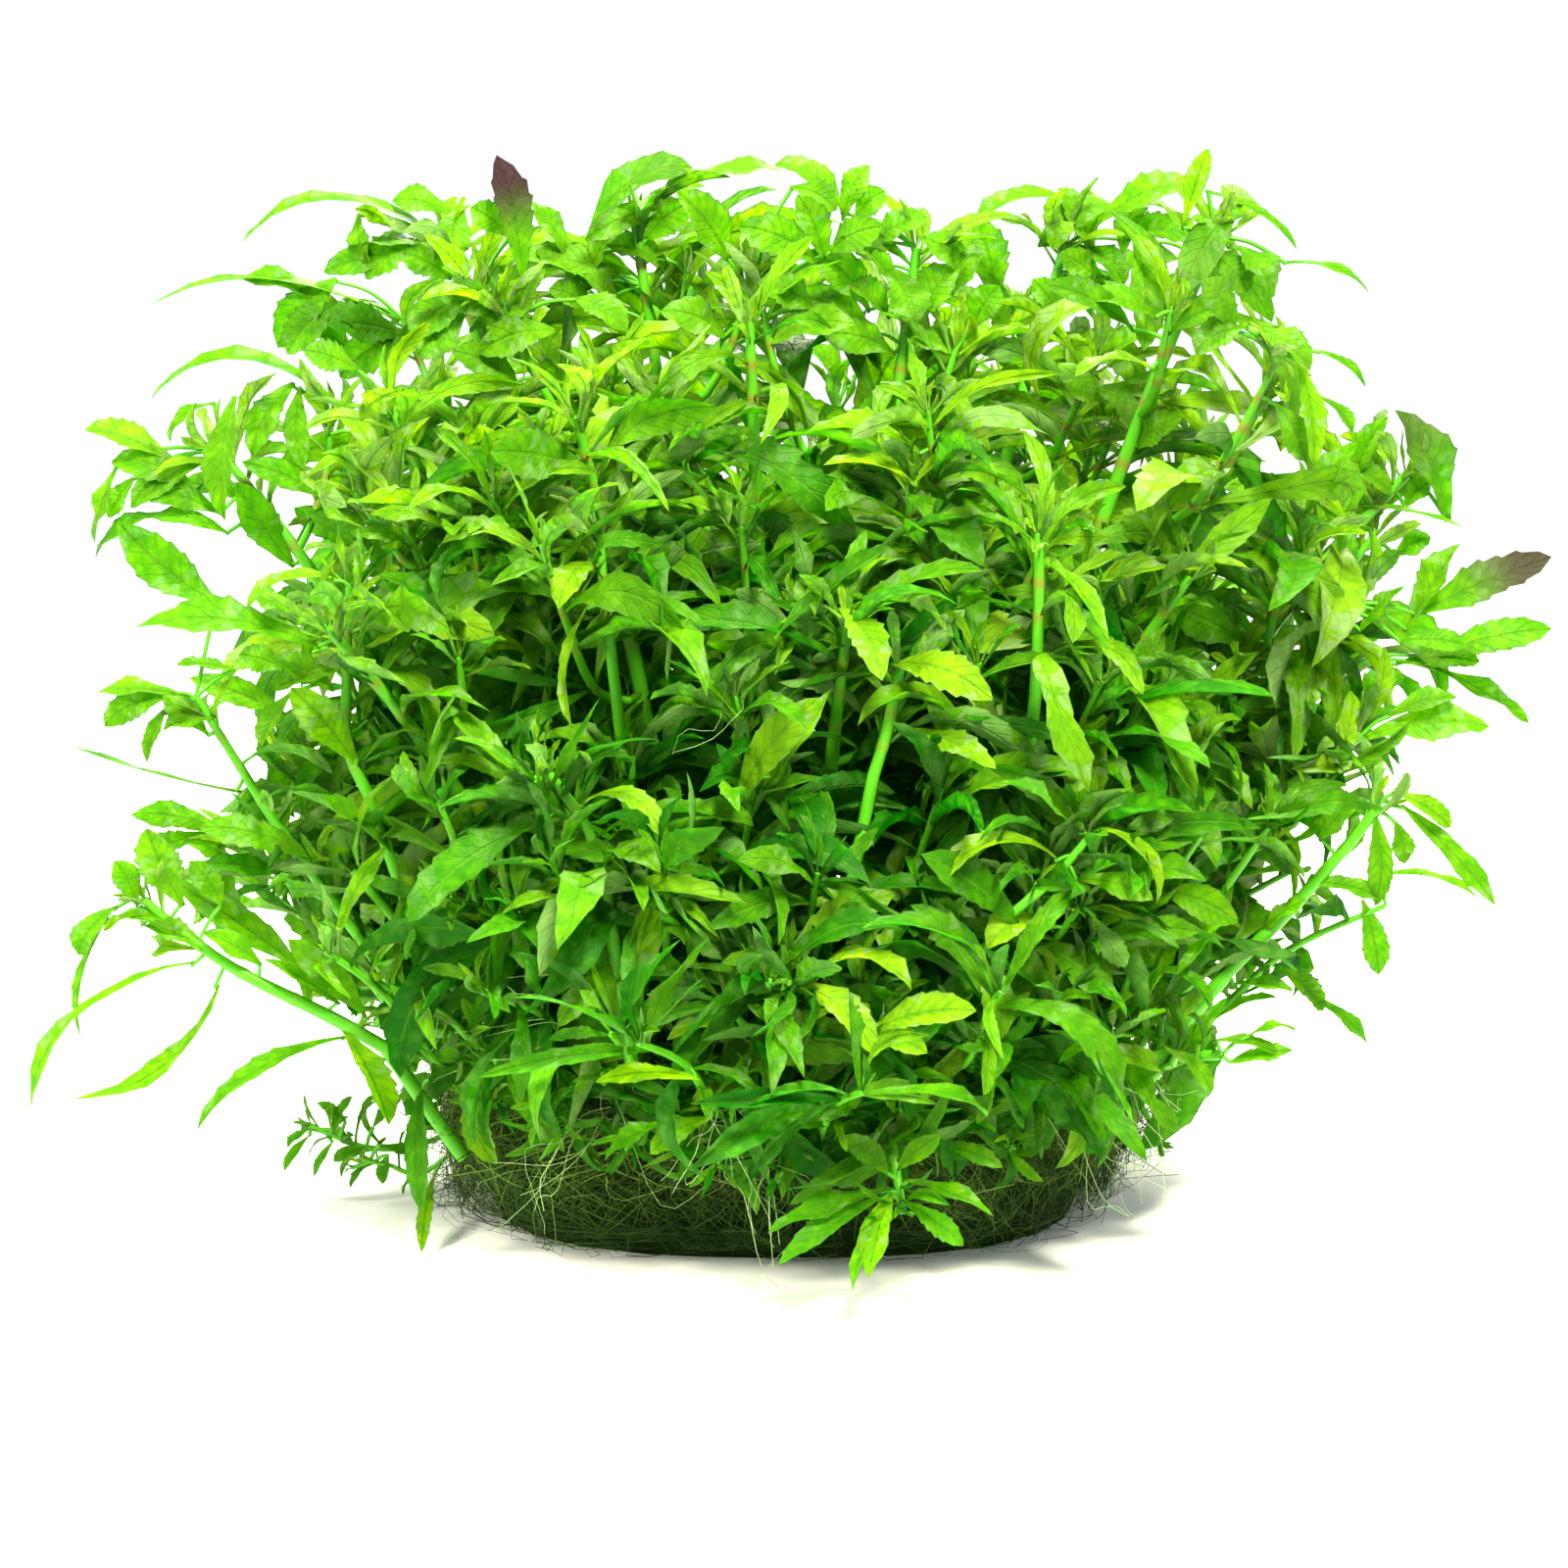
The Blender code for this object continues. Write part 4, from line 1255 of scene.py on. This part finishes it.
def plan_shoots(dice, sight, room):
    """Every stem with its side shoots, and the low sprigs."""
    shoots = []
    mains = {}
    for stem in range(1, SHOOTS + 1):
        course = Course(shown_knots(centre_line(f"stem_{stem:02d}")[1:], room))
        mains[stem] = course
        top = course.knots[-1].z
        if top < CREEPING_TIP_HEIGHT:
            vigour = 0.45 if stem > 1 else 0.75
            shoots.append(Shoot(stem, course, base=0.0020, tip=0.0012, vigour=vigour, spacing=0.014,
                                bare=course.length * 0.45))
            continue
        vigour = 0.60 if top < LOW_STEM_HEIGHT else 1.10
        shoots.append(Shoot(stem, course, base=0.0029, tip=0.0014, vigour=vigour, spacing=0.019,
                            bare=0.012))
        root = course.knots[0]
        far_out = math.hypot(root.x / MAT_HALF_WIDTH, root.y / MAT_HALF_DEPTH) > OUTERMOST
        for side in side_shoots(dice, stem, course, far_out):
            if room.inside(side.course.knots[-1]):
                shoots.append(side)
    for foot_across, foot_up, tip_across, tip_up, foot_out, tip_out, vigour in SPRIGS:
        foot = sight.place(foot_across * MM, foot_up * MM, -foot_out * MM)
        tip = sight.place(tip_across * MM, tip_up * MM, -tip_out * MM)
        rising = (foot + tip) / 2.0 - UP * 0.004 + Vector((0.0, -0.004, 0.0))
        stem = min(mains, key=lambda number: (mains[number].knots[0] - foot).length)
        course = Course([foot, rising, tip])
        shoots.append(Shoot(stem, course, base=0.0013, tip=0.0010, vigour=vigour, spacing=0.013,
                            bare=0.004, upright=0.1))
    for out, base, tip, vigour, bare, places in LIMBS:
        course = Course([sight.place(across * MM, up * MM, -out * MM) for across, up in places])
        middle = course.point(course.length / 2.0)
        stem = min(mains, key=lambda number: (mains[number].point(0.12) - middle).length)
        shoots.append(Shoot(stem, course, base=base * MM, tip=tip * MM, vigour=vigour, spacing=0.020,
                            bare=course.length * bare, upright=0.3))
        for step in range(BARE_STEPS):
            start = course.point(course.length * bare * step / BARE_STEPS)
            end = course.point(course.length * bare * (step + 1) / BARE_STEPS)
            room.keep_clear(start, end, (base + 2.5) * MM)
    return shoots


def make_bush():
    """The stems with their leaves, and the mat that they stand in."""
    blank = make_leaf_blank()
    leaves = leaf_tree()
    sweep = sweep_tree()
    leaf_skin = leaf_material()
    stem_skin = stem_material()
    dice = np.random.default_rng(BUSH_SEED)
    sight = Sight()
    room = Room(sight)
    shoots = plan_shoots(dice, sight, room)
    stems = range(1, SHOOTS + 1)
    foliages = {stem: Foliage() for stem in stems}
    lines = {stem: Lines() for stem in stems}
    for row in PROMINENT_LEAVES:
        grow_prominent(foliages, lines, sight, room, shoots, row)
    for shoot in shoots:
        grow_shoot(foliages[shoot.stem], lines[shoot.stem], dice, room, shoot)
    for stem in stems:
        mesh = foliages[stem].mesh("leaf_seats")
        crown = leaves.grow(f"foliage_{stem:02d}", mesh, Leaf=blank, Skin=leaf_skin)
        paths = lines[stem].mesh("stem_lines")
        rod = sweep.grow(f"shoot_{stem:02d}", paths, Sides=8, Skin=stem_skin)
        hand_over(crown, "leaf", f"leaves_{stem:02d}")
        hand_over(rod, "stem", f"stem_{stem:02d}")
    bpy.data.objects.remove(blank)
    make_mat(sweep, sight)


class MatSurface:
    """The rounded side and the top of the root mat, as places to lay threads on."""

    def __init__(self):
        low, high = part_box("root_mat")
        self.half_width = (high[0] - low[0]) / 2.0
        self.half_depth = (high[1] - low[1]) / 2.0
        self.height = high[2]

    def corner(self, angle):
        """How far the mat stands out there, past a plain oval."""
        return 1.01 + 0.09 * math.sin(angle * 2.0) ** 2

    def point(self, angle, climb, out):
        """A place round the mat: climb runs from 0 at the ground over the rim to 1 at its middle."""
        quarter = min(max(climb, 0.0), 1.0) * math.pi / 2.0
        reach = math.cos(quarter) ** 0.34
        height = math.sin(quarter) ** 0.60
        uneven = 1.0 + 0.035 * math.sin(angle * 5.0 + 0.7)
        uneven += 0.022 * math.sin(angle * 11.0 + climb * 7.0)
        side = Vector((math.cos(angle) * self.half_width, math.sin(angle) * self.half_depth, 0.0))
        side *= self.corner(angle)
        tuck = 0.95 + 0.05 * min(1.0, climb * 5.0)
        lift = self.height * height + out * (climb ** 2)
        return side * (reach * uneven * tuck + out * (1.0 - climb ** 2) / side.length) + UP * lift


def make_threads(surface, dice):
    """Fine roots: the left of the mat is a nest, its middle hangs, its right stands like grass."""
    lines = Lines()
    for _ in range(THREADS):
        angle = dice.uniform(0.0, math.tau)
        chance = dice.uniform()
        out = dice.uniform(-0.004, 0.004)
        loose = dice.exponential(0.0060)
        free = 0.0
        if chance < 0.15:
            climb = dice.uniform(0.55, 0.97)
            run = dice.normal(0.0, 0.5)
            rise = dice.normal(0.0, 0.2)
        elif math.cos(angle) > 0.20 and chance < 0.80:
            climb = dice.uniform(0.01, 0.25)
            run = dice.normal(0.0, 0.20)
            rise = dice.uniform(0.30, 0.70)
            free = dice.uniform(0.0, 0.012)
        elif math.cos(angle) > -0.25 and chance < 0.65:
            climb = dice.uniform(0.45, 0.80)
            run = dice.normal(0.0, 0.16)
            rise = -dice.uniform(0.35, 0.75)
        else:
            climb = dice.uniform(0.02, 0.62)
            run = dice.choice((-1.0, 1.0)) * dice.uniform(0.08, 0.45)
            rise = dice.normal(0.0, 0.30)
        curl = dice.normal(0.0, 0.30)
        lowest = dice.uniform(0.004, 0.06)
        wobble = dice.uniform(0.0, math.tau, 3)
        points = []
        for step in range(THREAD_STEPS + 1):
            share = step / THREAD_STEPS
            sway = 0.07 * math.sin(share * 7.0 + wobble[0])
            bob = 0.10 * math.sin(share * 6.0 + wobble[1]) + curl * share * share
            wave = 0.6 + 0.4 * math.sin(share * 7.0 + wobble[2])
            away = out + loose * math.sin(share * math.pi) * wave
            tall = min(max(climb + rise * share + bob, lowest), 0.99)
            points.append(surface.point(angle + run * share + sway, tall, away + free * share ** 3))
        thick = dice.uniform(0.00009, 0.00022)
        thins = [thick * (1.0 - 0.5 * step / THREAD_STEPS) for step in range(THREAD_STEPS + 1)]
        lines.add(points, thins, [dice.uniform(0.0, 1.0) ** 4.0] * (THREAD_STEPS + 1))
    return lines


def make_loose_roots(sight, dice):
    """The pale roots that hang from the low joints of the stems."""
    lines = Lines()
    for from_across, from_up, to_across, to_up, count, apart, out in LOOSE_ROOTS:
        for _ in range(count):
            spread = dice.normal(0.0, 0.6, 4) * apart
            across = (from_across + spread[0] * 0.5) * MM
            up = (from_up + spread[1] * 0.5) * MM
            start = sight.place(across, up, -out * MM)
            across = (to_across + spread[2]) * MM
            up = (to_up + spread[3]) * MM
            end = sight.place(across, up, -(out - 6.0) * MM)
            bow = Vector(dice.normal(0.0, 0.18, 3)) * (end - start).length
            wave = Vector(dice.normal(0.0, 0.05, 3)) * (end - start).length
            points = []
            for step in range(THREAD_STEPS + 1):
                share = step / THREAD_STEPS
                point = start.lerp(end, share) + bow * math.sin(share * math.pi)
                point += wave * math.sin(share * 9.0)
                point.z = max(point.z, GROUND_CLEARANCE)
                points.append(point)
            lines.add(points, [dice.uniform(0.00005, 0.00011)] * (THREAD_STEPS + 1))
    return lines


def make_mat(sweep, sight):
    """A dark core in place of the CAD mat, its near-black painted shade between the threads that wrap
    it, and the loose roots.
    """
    surface = MatSurface()
    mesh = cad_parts["root_mat"].data.copy()
    shape = bmesh.new()
    shape.from_mesh(mesh)
    bmesh.ops.remove_doubles(shape, verts=shape.verts, dist=SMALLEST_STEP)
    for point in shape.verts:
        angle = math.atan2(point.co.y / surface.half_depth, point.co.x / surface.half_width)
        corner = surface.corner(angle)
        point.co.x *= 0.92 * corner
        point.co.y *= 0.92 * corner
        point.co.z *= 0.88
    shape.to_mesh(mesh)
    shape.free()
    core = put_in_scene("root_core", mesh)
    core.data.materials.clear()
    # The core's near-black is painted shade: the shadow inside the mat, seen between its threads.
    core.data.materials.append(Paint("root_dark", roughness=0.9, gloss=0.05).coloured(ROOT_PAINTED_SHADE))
    hand_over(core, "root", "root_mat")
    skin = root_material()
    for number, seed in enumerate(THREAD_SEEDS, start=1):
        lines = make_threads(surface, np.random.default_rng(seed))
        paths = lines.mesh("thread_lines")
        threads = sweep.grow(f"root_threads_{number}", paths, Sides=3, Skin=skin)
        hand_over(threads, "root")
    lines = make_loose_roots(sight, np.random.default_rng(LOOSE_ROOT_SEED))
    skin = Paint("root_white", roughness=0.5).coloured(ROOT_WHITE)
    loose = sweep.grow("loose_roots", lines.mesh("root_lines"), Sides=4, Skin=skin)
    hand_over(loose, "root")


set_the_stage()
make_bush()
